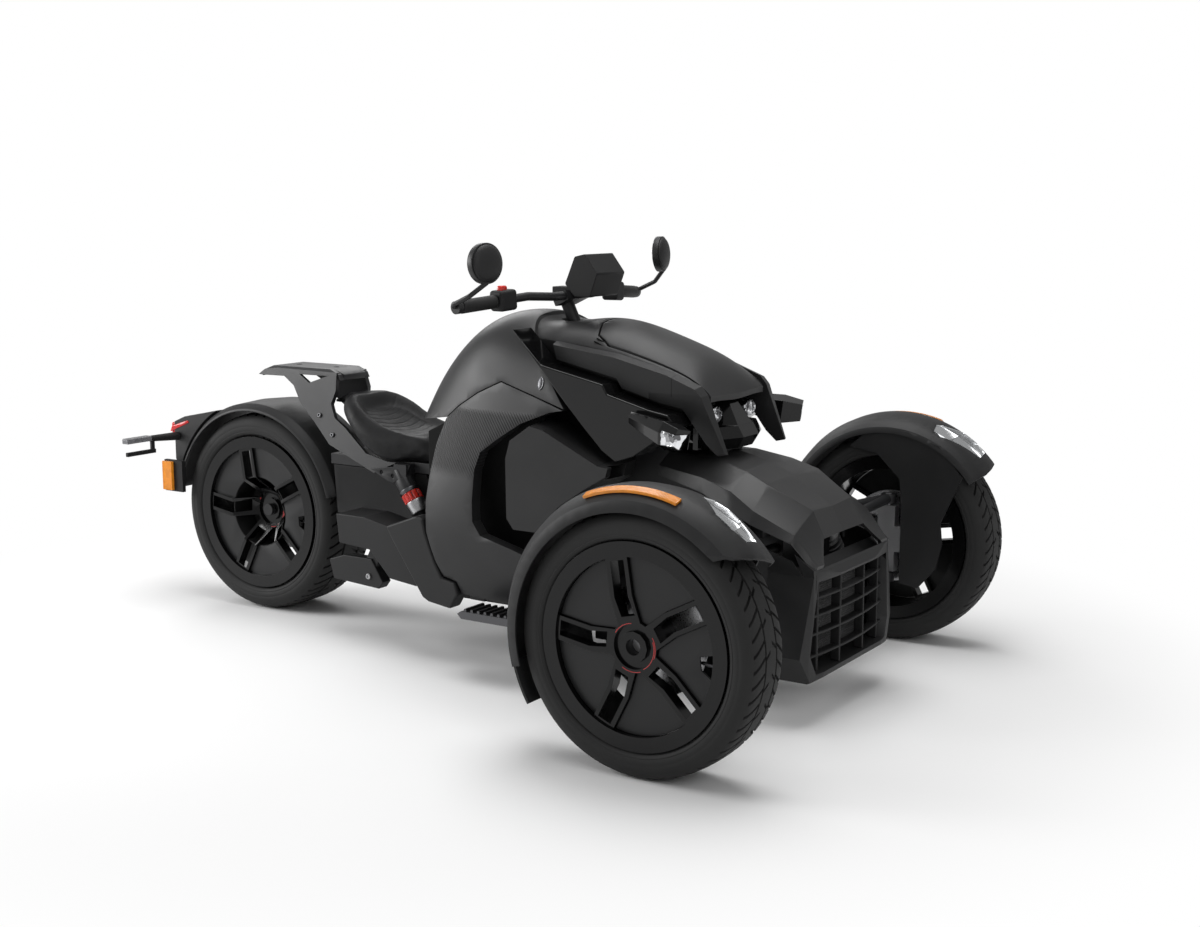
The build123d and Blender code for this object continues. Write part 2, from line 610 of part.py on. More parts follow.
def mouth_room(grow):
    return loft([front_face(MOUTH_BACK, MOUTH_S, grow), front_face(MOUTH_FRONT, MOUTH_S + 82, grow)],
                ruled=True)


bumper_plan = make_face([Polyline((FRONT_X + 30, 266), (FRONT_X + 30, -266), (FRONT_X + 156, -266)),
                         ThreePointArc((FRONT_X + 156, -266), (FRONT_X + 186, 0), (FRONT_X + 156, 266)),
                         Line((FRONT_X + 156, 266), (FRONT_X + 30, 266))])
bumper = through_plate(BUMPER, 266) & extrude(bumper_plan, amount=600)
bumper &= extrude(front_face(BUMPER_HALF, 0), amount=300)
bumper -= mouth_room(0)
bumper -= box(0, MOUTH_S + 4, -212, 212, 116, 470)
bumper -= hood_volume(0, 0)
bumper -= hood_volume(-FIT, -FIT)
bumper = bumper.solids().sort_by(SortBy.VOLUME)[-1]

RADIATOR_S = 84
RADIATOR_T = 32
BAR_ROWS = (163, 215, 258, 300)
BAR_UPRIGHTS = (-172, -67, 67, 172)
BAR_T = 7
BAR_DEPTH = 24
radiator = box(RADIATOR_S, RADIATOR_S + RADIATOR_T, -212 + FIT, 212 - FIT, 116 + FIT, 350)
bar_front = FRONT_X + 146
bar_back = bar_front - BAR_DEPTH
bar_plan = make_face([ThreePointArc((bar_back, -250), (bar_back + 24, 0), (bar_back, 250)),
                      Line((bar_back, 250), (bar_front, 250)),
                      ThreePointArc((bar_front, 250), (bar_front + 24, 0), (bar_front, -250)),
                      Line((bar_front, -250), (bar_back, -250))])
bars = None
for z in BAR_ROWS:
    bar = Pos(0, 0, z - BAR_T / 2) * extrude(bar_plan, amount=BAR_T)
    bars = bar if bars is None else bars + bar
upright_plan = extrude(bar_plan, amount=400)
for y in BAR_UPRIGHTS:
    bars += upright_plan & box(100, 200, y - 4, y + 4, 120, 360)
grille = bars & mouth_room(-FIT)

# Frame
frame = box(-165, 45, -BULKHEAD_HALF_W, BULKHEAD_HALF_W, RAIL_Z, 430)
frame += box(-75, 15, -TOWER_HALF_W, TOWER_HALF_W, 425, 478)
for side in (-1, 1):
    frame += box(-1180, -100, side * RAIL_Y - 20, side * RAIL_Y + 20, RAIL_Z, RAIL_Z + RAIL_H)
    frame += box(-1170, -1110, side * RAIL_Y - 20, side * RAIL_Y + 20, RAIL_Z, SEAT_BASE_Z - 30)
    frame += box(44, RADIATOR_S - FIT, side * 90 - 15, side * 90 + 15, 200, 300)
SEAT_PAN_HALF_W = RACK_FOOT_Y - RACK_T / math.cos(math.atan2(RACK_FOOT_Y - RACK_HALF_W,
                                                             RACK_TOP_Z - SEAT_BASE_Z)) - FIT
frame += box(-1404, -1040, -SEAT_PAN_HALF_W, SEAT_PAN_HALF_W, SEAT_BASE_Z - 30, SEAT_BASE_Z)
frame += through_plate([(-165, 300), (-165, 430), (-330, 600), (-330, COWL_FLOOR - FIT),
                        (-480, COWL_FLOOR - FIT),
                        (-480, 480), (-300, 300)], 45)
for s in (-820, -560):
    outrigger = box(s - 25, s + 25, -300, 300, RAIL_Z, RAIL_Z + RAIL_H)
    frame += outrigger & body_volume(PANEL_T + FIT)
frame += box(-560, -200, -95, 95, RAIL_Z, RAIL_Z + RAIL_H)
column_tube = rod(on_column(120), on_column(440), COLUMN_R + 10)
frame += column_tube
frame -= rod(on_column(0), on_column(600), COLUMN_R + RUN)
frame += box(HEAD_POST[0], HEAD_POST[1], -POST_HALF_W, POST_HALF_W, 425, CHIN_Z - FIT)
frame += box(-130, -60, -50, 50, 470, 640) & hood_volume(7 + FIT, 9)
frame -= Pos(FRONT_X - STEERING_ARM + 4, 0, FRONT_TYRE_R - 60) * across(Cylinder(ROD_R + 19,
                                                                                 4 * BULKHEAD_HALF_W))

# Handlebar group, built with the bars straight ahead
STEM_TOP = on_column(-16)
stem = rod(on_column(420), STEM_TOP, COLUMN_R)
bar_path = FilletPolyline((FRONT_X - 702, -BAR_HALF_W, 956), (FRONT_X - 664, -170, 972),
                          (FRONT_X - 640, -90, 968),
                          (FRONT_X - 640, 90, 968), (FRONT_X - 664, 170, 972),
                          (FRONT_X - 702, BAR_HALF_W, 956), radius=45)
bar_section = Plane(origin=bar_path @ 0, z_dir=bar_path % 0) * Circle(BAR_R)
handlebar = sweep(bar_section, path=bar_path)
handlebar += stem
CLAMP = Pos(FRONT_X - 648, 0, 962) * Rot(0, -COLUMN_RAKE, 0)
handlebar += CLAMP * Box(46, 96, 26)

GRIP_IN = 285
grip_dir = Vector(-38, -(BAR_HALF_W - 170), -16).normalized()
grip_end = Vector(FRONT_X - 702, -BAR_HALF_W, 956)
grip_start = grip_end - grip_dir * (BAR_HALF_W - GRIP_IN)
grip = rod((grip_start.X, grip_start.Y, grip_start.Z), tuple(grip_end - grip_dir * 2), GRIP_R)
grip -= rod(tuple(grip_start - grip_dir * 50), tuple(grip_end + grip_dir * 50), BAR_R + FIT)
switch_start = grip_start - grip_dir * 62
switch = Plane(origin=switch_start, z_dir=grip_dir) * (Pos(0, 0, 29) * Box(46, 52, 58))
switch = fillet(switch.edges(), 9)
switch -= rod(tuple(grip_start - grip_dir * 120), tuple(grip_end), BAR_R + FIT)

GAUGE = [(-592, 1070), (-560, 1077), (-522, 1028), (-545, 968), (-592, 968), (-622, 1000)]
gauge_pod = through_plate(GAUGE, GAUGE_W / 2)
gauge_pod = fillet(gauge_pod.edges().filter_by(Axis.Y), 7)
gauge_pod += through_plate([(-690, 990), (-600, 990), (-590, 972), (-690, 950)], 24)
gauge_pod -= CLAMP * Box(46 + 2 * FIT, 140, 26 + 2 * FIT)
gauge_pod -= rod((FRONT_X - 640, -100, 968), (FRONT_X - 640, 100, 968), BAR_R + FIT)
gauge_pod -= box(-760, -600, -200, 200, 900, 968)
gauge_pod = gauge_pod.solids().sort_by(SortBy.VOLUME)[-1]

mirror_mid = Vector(FRONT_X - 619, -408, 1063)
mirror_plane = Plane(origin=mirror_mid, z_dir=(-1, 0.22, -0.05))
mirror_shell = mirror_plane * Cylinder(MIRROR_R, 16)
mirror_glass = mirror_plane * (Pos(0, 0, 8 + FIT + 1) * Cylinder(MIRROR_R - 4, 2))
arm_path = FilletPolyline((FRONT_X - 704, -BAR_HALF_W - 4, 956), (FRONT_X - 706, -BAR_HALF_W - 30, 960),
                          (FRONT_X - 650, -BAR_HALF_W - 30, 985),
                          (FRONT_X - 612, -410, 1063 - MIRROR_R + 4), radius=14)
arm_section = Plane(origin=arm_path @ 0, z_dir=arm_path % 0) * Circle(6)
mirror_arm = sweep(arm_section, path=arm_path)
clamp = rod(tuple(grip_end + grip_dir * FIT), tuple(grip_end + grip_dir * 16), 16)
mirror_body = mirror_shell + mirror_arm + clamp

# Seat, rack and rear end
SEAT_STATIONS = [
    (-1004, 92, 500, 606),
    (-1080, 128, 500, 598),
    (-1170, 150, 500, 602),
    (-1250, 154, 528, 628),
    (-1325, 134, 582, 658),
    (-1378, 88, 616, 664),
    (-1402, 56, 628, 663),
    (-1462, 34, 636, 650),
]
seat_faces = []
for station, wide, low, top in SEAT_STATIONS:
    tall = top - low
    half = [(wide * 0.8, low), (wide, low + tall * 0.45), (wide * 0.86, top - tall * 0.14),
            (wide * 0.42, top - tall * 0.01)]
    loop = half + [(0, top - tall * 0.04)] + [(-y, z) for y, z in reversed(half)]
    plane = Plane(origin=(FRONT_X + station, 0, 0), x_dir=(0, 1, 0), z_dir=(1, 0, 0))
    seat_faces.append(plane * make_face([Spline(*loop), Line(loop[-1], loop[0])]))
seat = loft(seat_faces) - body_volume(-FIT) - box(-1500, -900, -300, 300, SEAT_BASE_Z - 60,
                                                  SEAT_BASE_Z + FIT)

# Rack: two legs that lean in towards a flat plate, drawn in the plane of the leg from the foot upwards
RACK_LEAN = math.atan2(RACK_FOOT_Y - RACK_HALF_W, RACK_TOP_Z - SEAT_BASE_Z)
RACK_LEG = [(-1150, 496), (-1226, 462), (-1402, 526), (-1470, 585), (-1532, 633), (-1568, 681),
            (-1612, 707), (-1712, 706),
            (-1690, 722), (-1640, 728), (-1410, 726), (-1408, 700), (-1405, 674), (-1416, 638),
            (-1395, 600), (-1350, 575),
            (-1262, 512), (-1180, 496)]
RACK_WINDOW = [(-1552, 715), (-1440, 716), (-1510, 692)]
leg_plane = Plane(origin=(FRONT_X, -RACK_FOOT_Y, SEAT_BASE_Z), x_dir=(1, 0, 0),
                  z_dir=(0, math.cos(RACK_LEAN), -math.sin(RACK_LEAN)))


def leg_face(points):
    return leg_plane * make_face(Polyline(*[(s, (SEAT_BASE_Z - z) / math.cos(RACK_LEAN)) for s,
                                            z in points], close=True))


rack_leg = extrude(leg_face(RACK_LEG) - leg_face(RACK_WINDOW), amount=RACK_T)
rack_leg -= box(-1800, -1100, -300, 300, RACK_TOP_Z, 900)
RACK_PLATE = [(-1712, 708), (-1690, 722), (-1656, RACK_TOP_Z), (-1436, RACK_TOP_Z), (-1404, 720),
              (-1396, 704), (-1440, 722),
              (-1650, 722), (-1700, 702)]
RACK_TONGUE = [(-1436, RACK_TOP_Z), (-1404, 722), (-1336, 684), (-1332, 676), (-1404, 706), (-1440, 722)]
rack = through_plate(RACK_PLATE, RACK_HALF_W) + through_plate(RACK_TONGUE, RACK_HALF_W - 16)
rack = rack + rack_leg + left_of(rack_leg)
RACK_MID = -1540
for s in (RACK_MID - RACK_HOLES / 2, RACK_MID + RACK_HOLES / 2):
    rack -= Pos(FRONT_X + s, 0, RACK_TOP_Z) * Cylinder(9, 60)

rear_r = REAR_TYRE_R + REAR_FENDER_GAP
rw = REAR_FENDER_HALF_W
crest = REAR_FENDER_CROWN
rear_skin = [(rear_r - 10, -rw), (rear_r - 2, -rw + 3), (rear_r + crest - 5, -rw + 24), (rear_r + crest, 0),
             (rear_r + crest - 5, rw - 24), (rear_r - 2, rw - 3), (rear_r - 10, rw), (rear_r - 10, rw - 5),
             (rear_r - 4, rw - 8),
             (rear_r + crest - 11, rw - 27), (rear_r + crest - 7, 0), (rear_r + crest - 11, -rw + 27),
             (rear_r - 4, -rw + 8),
             (rear_r - 10, -rw + 5)]
rear_fender = place_rear(arc_shell(rear_skin, 14, 172))

TAIL_X = REAR_X - REAR_FENDER_R - TAIL_REACH
TAIL_BACK = TAIL_X + TAIL_LENS_T + FIT
TAIL_Z = REAR_TYRE_R + TAIL_RISE
tail_housing = extrude(side_plane(100) * make_face(Polyline((TAIL_X + 203, TAIL_Z + 68),
                                                            (TAIL_X + 63, TAIL_Z + 40),
                       (TAIL_BACK, TAIL_Z + 22), (TAIL_BACK, TAIL_Z - 92), (TAIL_BACK + 14, TAIL_Z - 132),
                       (TAIL_X + 113, TAIL_Z - 42), close=True)), amount=200)
keep_out = place_rear(across(Cylinder(REAR_FENDER_R + FIT, 400)))
tail_housing -= keep_out
tail_lens = Pos(TAIL_X + TAIL_LENS_T / 2, 0, TAIL_Z) * Box(TAIL_LENS_T, 190, 34)
for side in (-1, 1):
    tail_housing -= rod((TAIL_X, side * PLATE_BOLTS / 2, TAIL_Z - 57),
                        (TAIL_BACK + 16, side * PLATE_BOLTS / 2, TAIL_Z - 57), 3.5)
signal_arm = rod((TAIL_X + 33, -101.5, TAIL_Z - 22), (TAIL_X + 27, -208, TAIL_Z - 18), 13, 9)
signal_arm += Pos(TAIL_X + 29, -245, TAIL_Z - 56) * Box(10, 108, 12)
signal_arm += Pos(TAIL_X + 29, -200, TAIL_Z - 36) * Box(8, 12, 40)
signal_lens = Pos(TAIL_X + 27, -256, TAIL_Z - 16) * Box(26, 94, 16)
REFLECTOR_Y = REAR_FENDER_HALF_W + 17
reflector = Pos(TAIL_X + 25, -REFLECTOR_Y - 5, TAIL_Z - 140) * Box(40, 10, 88)
bracket = Pos(TAIL_X + 43, -REFLECTOR_Y + 6 + FIT, TAIL_Z - 140) * Box(76, 12, 96)
boss = REFLECTOR_Y - REAR_FENDER_HALF_W - FIT
bracket += Pos(TAIL_X + 62, -REFLECTOR_Y + boss / 2, TAIL_Z - 132) * Box(38, boss, 40)

# Swingarm on the left, final drive and rear caliper
AXLE_Z = REAR_TYRE_R
PIVOT_S = -1230
beam_y0 = REAR_TYRE_W / 2 + 20
swing = rod((REAR_X, beam_y0, AXLE_Z), (REAR_X, beam_y0 + 62, AXLE_Z), 78)
swing += rod((REAR_X, beam_y0 + 10, AXLE_Z), (REAR_X, -REAR_TYRE_W / 2 + 50, AXLE_Z), SPINDLE_R)
swing += Pos((REAR_X + FRONT_X + PIVOT_S) / 2, beam_y0 + 30, AXLE_Z) * Box(FRONT_X + PIVOT_S - REAR_X, 44,
                                                                           78)
swing += box(PIVOT_S - 40, PIVOT_S + 40, -60, beam_y0 + 52, AXLE_Z - 40, AXLE_Z + 40)
swing += box(PIVOT_S + 30, -1180 - FIT, -50, 50, AXLE_Z - 40, AXLE_Z + 30)
frame += box(-1180, -1110, -60, 60, RAIL_Z + 60, AXLE_Z + 40)
swing += Pos(REAR_X + 170, REAR_FENDER_HALF_W + FIT + 6, AXLE_Z + 160) * Rot(0, -55, 0) * Box(330, 12, 36)
swing -= place_rear(across(Cylinder(rear_r - 10, 2 * beam_y0 - 2)))  & Pos(REAR_X + 300, 0, 400) * Box(600,
                                                                                                       800,
                                                                                                       100)

rear_shock = rod((FRONT_X - 1135, -128, 480), (FRONT_X - 1048, -128, 352), 15)
rear_shock += rod((FRONT_X - 1118, -128, 455), (FRONT_X - 1072, -128, 388), 25)
rear_shock += box(-1142, -1098, -140, -SEAT_PAN_HALF_W - FIT, 452, 496)

# Lower rear covers, silencer on the right, gearcase cover on the left, belly tray and foot rests
SILENCER = [(-1300, 352), (-1200, 352), (-1100, 332), (-1010, 332), (-1016, 180), (-1110, 190),
            (-1180, 262), (-1290, 270)]
silencer = side_plate(SILENCER, RAIL_Y + 20 + FIT, 204)
DEFLECTOR = [(-1345, 214), (-1290, 232), (-1190, 232), (-1150, 170), (-1165, 150), (-1330, 160)]
GEARCASE = [(-1172, 332), (-1010, 332), (-1016, 180), (-1110, 190), (-1172, 262)]
gearcase = left_of(side_plate(GEARCASE, RAIL_Y + 20 + FIT, 204))
deflector = side_plate(DEFLECTOR, 150, 186)
deflector += side_plate([(-1230, 200), (-1190, 275), (-1160, 250), (-1180, 200)], 150, 180)
deflector -= side_plate(SILENCER, 0, 300)
SKIRT = [(-1082, 347), (-977, 386), (-956, 380), (-948, 345), (-916, 268), (-893, 228), (-850, 220),
         (-840, 190),
         (-866, 148), (-940, 158), (-960, 168), (-1060, 310)]
skirt = side_plate(SKIRT, 204 + FIT, 250)
belly = box(-1000, -190, -112, 112, RAIL_Z - 24, RAIL_Z - FIT)
PEG = [(-752, 160), (-560, 160), (-548, 172), (-560, 180), (-752, 180), (-764, 172)]
footpeg = side_plate(PEG, 268, 350)
for k in range(9):
    footpeg += side_plate([(-745 + 21 * k, 179), (-735 + 21 * k, 179), (-737 + 21 * k, 187),
                           (-743 + 21 * k, 187)], 270, 348)
footpeg += box(-690, -630, -290, -112 - FIT, RAIL_Z - 22, RAIL_Z - 4)
footpeg += box(-690, -630, -296, -266, RAIL_Z - 22, 165)
rear_disc = Pos(0, 24 + FIT + DISC_T / 2, 0) * across(ring(DISC_R, SPINDLE_R + 12, DISC_T))

parts = {
    "engine_block": engine_block,
    "engine_covers": both(engine_cover),
    "side_panels": side_panels,
    "tank_cover": tank_cover,
    "upper_cowl": cowl,
    "storage_lid": storage_lid,
    "cowl_blades": both(blade),
    "shoulder_panels": both(shoulder),
    "headlight_unit": headlight_unit,
    "aux_lamps": both(aux_lamp),
    "lamp_lenses": Compound(children=[*both(lamp_body).solids(), *both(aux_lens).solids()]),
    "nose_hood": nose_hood,
    "front_bumper": bumper,
    "grille": grille,
    "radiator": radiator,
    "main_frame": frame,
    "front_arms": Compound(children=[*both(upper_arm).solids(), *both(lower_arm).solids()]),
    "front_shocks": both(shock),
    "handlebar": handlebar,
    "grips": both(grip),
    "switchgear": both(switch),
    "gauge_pod": gauge_pod,
    "mirrors": both(mirror_body),
    "mirror_glass": both(mirror_glass),
    "seat": seat,
    "rear_rack": rack,
    "rear_fender": rear_fender,
    "tail_housing": tail_housing,
    "tail_lens": tail_lens,
    "tail_signals": both(signal_arm),
    "signal_lenses": both(signal_lens),
    "side_reflectors": Compound(children=[*both(reflector).solids(), *both(bracket).solids()]),
    "swingarm": swing,
    "rear_shock": rear_shock,
    "silencer": Compound(children=[*silencer.solids(), *deflector.solids(), *gearcase.solids()]),
    "rear_skirts": both(skirt),
    "belly_pan": belly,
    "footpegs": both(footpeg),
    "rear_brake_disc": place_rear(rear_disc),
    "rear_tyre": place_rear(tyre(REAR_SECTION, REAR_TYRE_W)),
    "rear_rim": place_rear(rim_and_covers(REAR_TYRE_W, True)),
}
for name, place in (("right", place_right), ("left", place_left)):
    parts["front_" + name + "_tyre"] = place(front_tyre)
    parts["front_" + name + "_rim"] = place(front_rim)
    parts["front_" + name + "_brake_disc"] = place(front_disc)
right_side = {"knuckle": knuckle, "tie_rod": tie_rod_end, "brake_caliper": caliper, "fender": fender,
              "fender_lamps": Compound(children=[*lens_shell.solids(), *marker_shell.solids()])}
for name, shape in right_side.items():
    parts["front_right_" + name] = place_right(shape)
    parts["front_left_" + name] = left_of(place_right(shape))

os.makedirs("parts", exist_ok=True)
for name, shape in parts.items():
    export_step(shape, os.path.join("parts", name + ".step"))
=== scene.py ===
import json
import math

import bmesh
import bpy
from mathutils import Matrix, Vector
from mathutils.bvhtree import BVHTree


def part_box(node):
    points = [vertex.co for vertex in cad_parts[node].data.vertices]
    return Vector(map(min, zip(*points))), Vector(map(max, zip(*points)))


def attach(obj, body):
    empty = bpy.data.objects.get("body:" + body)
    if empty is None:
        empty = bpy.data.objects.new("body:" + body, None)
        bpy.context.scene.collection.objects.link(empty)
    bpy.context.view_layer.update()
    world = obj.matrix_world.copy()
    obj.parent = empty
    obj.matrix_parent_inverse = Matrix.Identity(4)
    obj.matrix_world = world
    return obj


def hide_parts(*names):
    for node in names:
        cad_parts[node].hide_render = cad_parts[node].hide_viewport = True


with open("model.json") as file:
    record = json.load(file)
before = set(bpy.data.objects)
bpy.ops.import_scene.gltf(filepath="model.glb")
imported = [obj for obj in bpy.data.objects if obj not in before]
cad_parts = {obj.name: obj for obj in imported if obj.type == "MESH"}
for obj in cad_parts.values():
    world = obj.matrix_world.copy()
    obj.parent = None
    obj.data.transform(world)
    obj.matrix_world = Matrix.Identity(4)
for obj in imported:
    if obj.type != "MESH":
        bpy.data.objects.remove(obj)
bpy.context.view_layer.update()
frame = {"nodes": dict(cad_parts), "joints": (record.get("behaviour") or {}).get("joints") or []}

bl_info = {
    "name": "Three-wheeled motorcycle dresser",
    "version": (1, 0, 0),
    "blender": (4, 5, 0),
    "location": "View3D > Sidebar > Trike",
    "description": "Builds the visible pieces of a three-wheeled motorcycle over its fixed model",
    "category": "Object",
}

NODES = frame["nodes"]


def joint_place(name):
    """Rest position of a joint of the model, in metres."""
    for joint in frame["joints"]:
        if joint["name"] == name:
            return Vector(joint["pos_m"])
    raise RuntimeError("no joint called " + name)


FRONT_AXLE = joint_place("front_right_wheel_spin")
FX = FRONT_AXLE.x


def st(station, y, z):
    """Point in metres from a station ahead of the front axle, in millimetres."""
    return Vector((FX + station / 1000, y / 1000, z / 1000))


# Materials

def new_material(name, color, rough, metal=0.0, spec=0.5, coat=0.0):
    mat = bpy.data.materials.new(name)
    mat.use_nodes = True
    shader = mat.node_tree.nodes["Principled BSDF"]
    shader.inputs["Base Color"].default_value = (*color, 1)
    shader.inputs["Roughness"].default_value = rough
    shader.inputs["Metallic"].default_value = metal
    shader.inputs["Specular IOR Level"].default_value = spec
    if coat:
        shader.inputs["Coat Weight"].default_value = coat
        shader.inputs["Coat Roughness"].default_value = 0.08
    return mat, shader


def node(mat, kind, **values):
    """New shader node, with its sockets or settings given by name."""
    made = mat.node_tree.nodes.new(kind)
    for key, value in values.items():
        if key in made.inputs:
            made.inputs[key].default_value = value
        else:
            setattr(made, key, value)
    return made


def link(mat, out, into):
    mat.node_tree.links.new(out, into)


def object_coords(mat, scale=(1, 1, 1)):
    coords = node(mat, "ShaderNodeTexCoord")
    mapping = node(mat, "ShaderNodeMapping", Scale=scale)
    link(mat, coords.outputs["Object"], mapping.inputs["Vector"])
    return mapping.outputs["Vector"]


def texture(mat, kind, vector, scale, **settings):
    """Texture of a given scale over a set of coordinates."""
    made = node(mat, kind, Scale=scale, **settings)
    link(mat, vector, made.inputs["Vector"])
    return made


def noise(mat, vector, scale, detail=2.0):
    return texture(mat, "ShaderNodeTexNoise", vector, scale, Detail=detail).outputs["Fac"]


def pebbles(mat, vector, scale):
    """Heights of a finely pebbled surface."""
    return texture(mat, "ShaderNodeTexVoronoi", vector, scale, feature="SMOOTH_F1").outputs["Distance"]


def ribs(mat, vector, scale, axis):
    """Heights of even ribs across an axis."""
    wave = texture(mat, "ShaderNodeTexWave", vector, scale, wave_type="BANDS", bands_direction=axis,
                   wave_profile="SIN")
    return wave.outputs["Fac"]


def calculate(mat, operation, *values):
    """Result of an operation on sockets and plain numbers."""
    made = node(mat, "ShaderNodeMath", operation=operation)
    for socket, value in zip(made.inputs, values):
        if isinstance(value, bpy.types.NodeSocket):
            link(mat, value, socket)
        else:
            socket.default_value = value
    return made.outputs["Value"]


def axis_values(mat, vector):
    split = node(mat, "ShaderNodeSeparateXYZ")
    link(mat, vector, split.inputs["Vector"])
    return split.outputs


def shaded(color, share):
    return tuple(c * share for c in color)


def ramp(mat, source, low, high, first=0.0, last=1.0):
    """Maps one range of values to another."""
    made = node(mat, "ShaderNodeMapRange")
    for label, value in (("From Min", low), ("From Max", high), ("To Min", first), ("To Max", last)):
        made.inputs[label].default_value = value
    link(mat, source, made.inputs["Value"])
    return made.outputs["Result"]


def bump(mat, shader, height, strength, distance):
    made = node(mat, "ShaderNodeBump", Strength=strength, Distance=distance)
    link(mat, height, made.inputs["Height"])
    link(mat, made.outputs["Normal"], shader.inputs["Normal"])


def vary_roughness(mat, shader, source, low, high):
    link(mat, ramp(mat, source, 0.3, 0.7, low, high), shader.inputs["Roughness"])


def vary_color(mat, shader, source, dark, light):
    mix = node(mat, "ShaderNodeMix", data_type="RGBA")
    mix.inputs[6].default_value = (*dark, 1)
    mix.inputs[7].default_value = (*light, 1)
    link(mat, source, mix.inputs[0])
    link(mat, mix.outputs[2], shader.inputs["Base Color"])


def grained_plastic(name, color, rough, grain=1100.0, depth=0.00025, spec=0.42):
    """Moulded plastic with a fine leather-like grain and faint handling marks."""
    mat, shader = new_material(name, color, rough, spec=spec)
    coords = object_coords(mat)
    marks = noise(mat, coords, 7.0, 6.0)
    vary_roughness(mat, shader, marks, rough - 0.05, rough + 0.06)
    vary_color(mat, shader, ramp(mat, marks, 0.3, 0.7), shaded(color, 0.88), shaded(color, 1.12))
    bump(mat, shader, pebbles(mat, coords, grain), 0.35, depth)
    return mat


def gloss_plastic(name, color, rough, spec=0.5):
    """Piano-black moulding with slight waviness and polishing haze."""
    mat, shader = new_material(name, color, rough, spec=spec, coat=0.1)
    coords = object_coords(mat)
    haze = noise(mat, coords, 11.0, 5.0)
    link(mat, ramp(mat, haze, 0.3, 0.75, rough * 0.7, rough * 1.5), shader.inputs["Roughness"])
    bump(mat, shader, noise(mat, coords, 5.0), 0.05, 0.004)
    return mat


def metal_finish(name, color, rough, brushed=(1, 1, 1), depth=0.0002, grain=260.0):
    """Metal with a fine brushed or cast surface."""
    mat, shader = new_material(name, color, rough, metal=1.0)
    scratches = noise(mat, object_coords(mat, brushed), grain, 4.0)
    vary_roughness(mat, shader, scratches, rough - 0.08, rough + 0.1)
    bump(mat, shader, scratches, 0.3, depth)
    return mat


def rubber_finish(name, color, rough=0.72, grain=500.0):
    """Rubber with a fine grain and dusty patches."""
    mat, shader = new_material(name, color, rough, spec=0.3)
    coords = object_coords(mat)
    dust = noise(mat, coords, 14.0, 8.0)
    vary_color(mat, shader, ramp(mat, dust, 0.35, 0.75), shaded(color, 0.82), shaded(color, 1.25))
    link(mat, ramp(mat, dust, 0.3, 0.8, rough - 0.06, rough + 0.1), shader.inputs["Roughness"])
    bump(mat, shader, noise(mat, coords, grain, 5.0), 0.25, 0.0004)
    return mat


def lens_finish(name, color, rough, flutes, axis, transmission=0.0, glow=0.0):
    """Coloured lens with fine flutes on its surface, and a faint painted glow where glow is given."""
    mat, shader = new_material(name, color, rough)
    shader.inputs["Transmission Weight"].default_value = transmission
    shader.inputs["IOR"].default_value = 1.46
    coords = object_coords(mat)
    specks = noise(mat, coords, 60.0)
    vary_color(mat, shader, ramp(mat, specks, 0.3, 0.7), shaded(color, 0.8), color)
    bump(mat, shader, ribs(mat, coords, flutes, axis), 0.5, 0.0012)
    # Painted glow: the emission makes the lens shine by itself, also on reflectors that have no lamp behind
    # them
    if glow:
        shader.inputs["Emission Color"].default_value = (*color, 1)
        shader.inputs["Emission Strength"].default_value = glow
    return mat


def radiator_core(name, dark, light):
    """Fine mesh of tubes and fins behind the grille."""
    mat, shader = new_material(name, light, 0.5)
    coords = object_coords(mat)
    mesh = calculate(mat, "MULTIPLY", ribs(mat, coords, 55.0, "Z"), ribs(mat, coords, 70.0, "Y"))
    vary_color(mat, shader, ramp(mat, mesh, 0.1, 0.6), dark, light)
    bump(mat, shader, mesh, 0.8, 0.002)
    return mat


def seamed_plastic(name, color, rough, seam, low, high):
    """Body plastic with one upright joint line at a given place along the body."""
    mat = grained_plastic(name, color, rough, spec=0.28)
    shader = mat.node_tree.nodes["Principled BSDF"]
    place = axis_values(mat, object_coords(mat))
    away = calculate(mat, "ABSOLUTE", calculate(mat, "SUBTRACT", place["X"], seam))
    above = ramp(mat, place["Z"], low, low + 0.001)
    below = ramp(mat, place["Z"], high, high - 0.001)
    zone = calculate(mat, "MULTIPLY", above, below)
    groove = calculate(mat, "MULTIPLY", ramp(mat, away, 0.0016, 0.0009), zone)
    mix = node(mat, "ShaderNodeMix", data_type="RGBA")
    mix.inputs[7].default_value = (0.002, 0.002, 0.002, 1)
    link(mat, groove, mix.inputs[0])
    link(mat, shader.inputs["Base Color"].links[0].from_socket, mix.inputs[6])
    link(mat, mix.outputs[2], shader.inputs["Base Color"])
    return mat


def ribbed_panel(name, color):
    """Body plastic whose knee area has fine slanted ribs."""
    mat, shader = new_material(name, color, 0.42, spec=0.3)
    coords = object_coords(mat)
    turned = node(mat, "ShaderNodeMapping", Rotation=(0, math.radians(38), 0))
    link(mat, coords, turned.inputs["Vector"])
    height = axis_values(mat, coords)["Z"]
    zone = calculate(mat, "MULTIPLY", ramp(mat, height, 0.50, 0.53), ramp(mat, height, 0.685, 0.67))
    knee = calculate(mat, "MULTIPLY", ribs(mat, turned.outputs["Vector"], 42.0, "X"), zone)
    marks = noise(mat, coords, 8.0)
    vary_color(mat, shader, ramp(mat, marks, 0.3, 0.7), shaded(color, 0.9), shaded(color, 1.1))
    bump(mat, shader, knee, 0.7, 0.0016)
    return mat


def leather(name, color):
    """Seat cover with a pebbled grain."""
    mat, shader = new_material(name, color, 0.52, spec=0.2)
    coords = object_coords(mat)
    creases = noise(mat, coords, 35.0, 9.0)
    vary_color(mat, shader, ramp(mat, creases, 0.35, 0.7), shaded(color, 0.8), shaded(color, 1.2))
    vary_roughness(mat, shader, creases, 0.44, 0.58)
    bump(mat, shader, pebbles(mat, coords, 520.0), 0.55, 0.0006)
    return mat


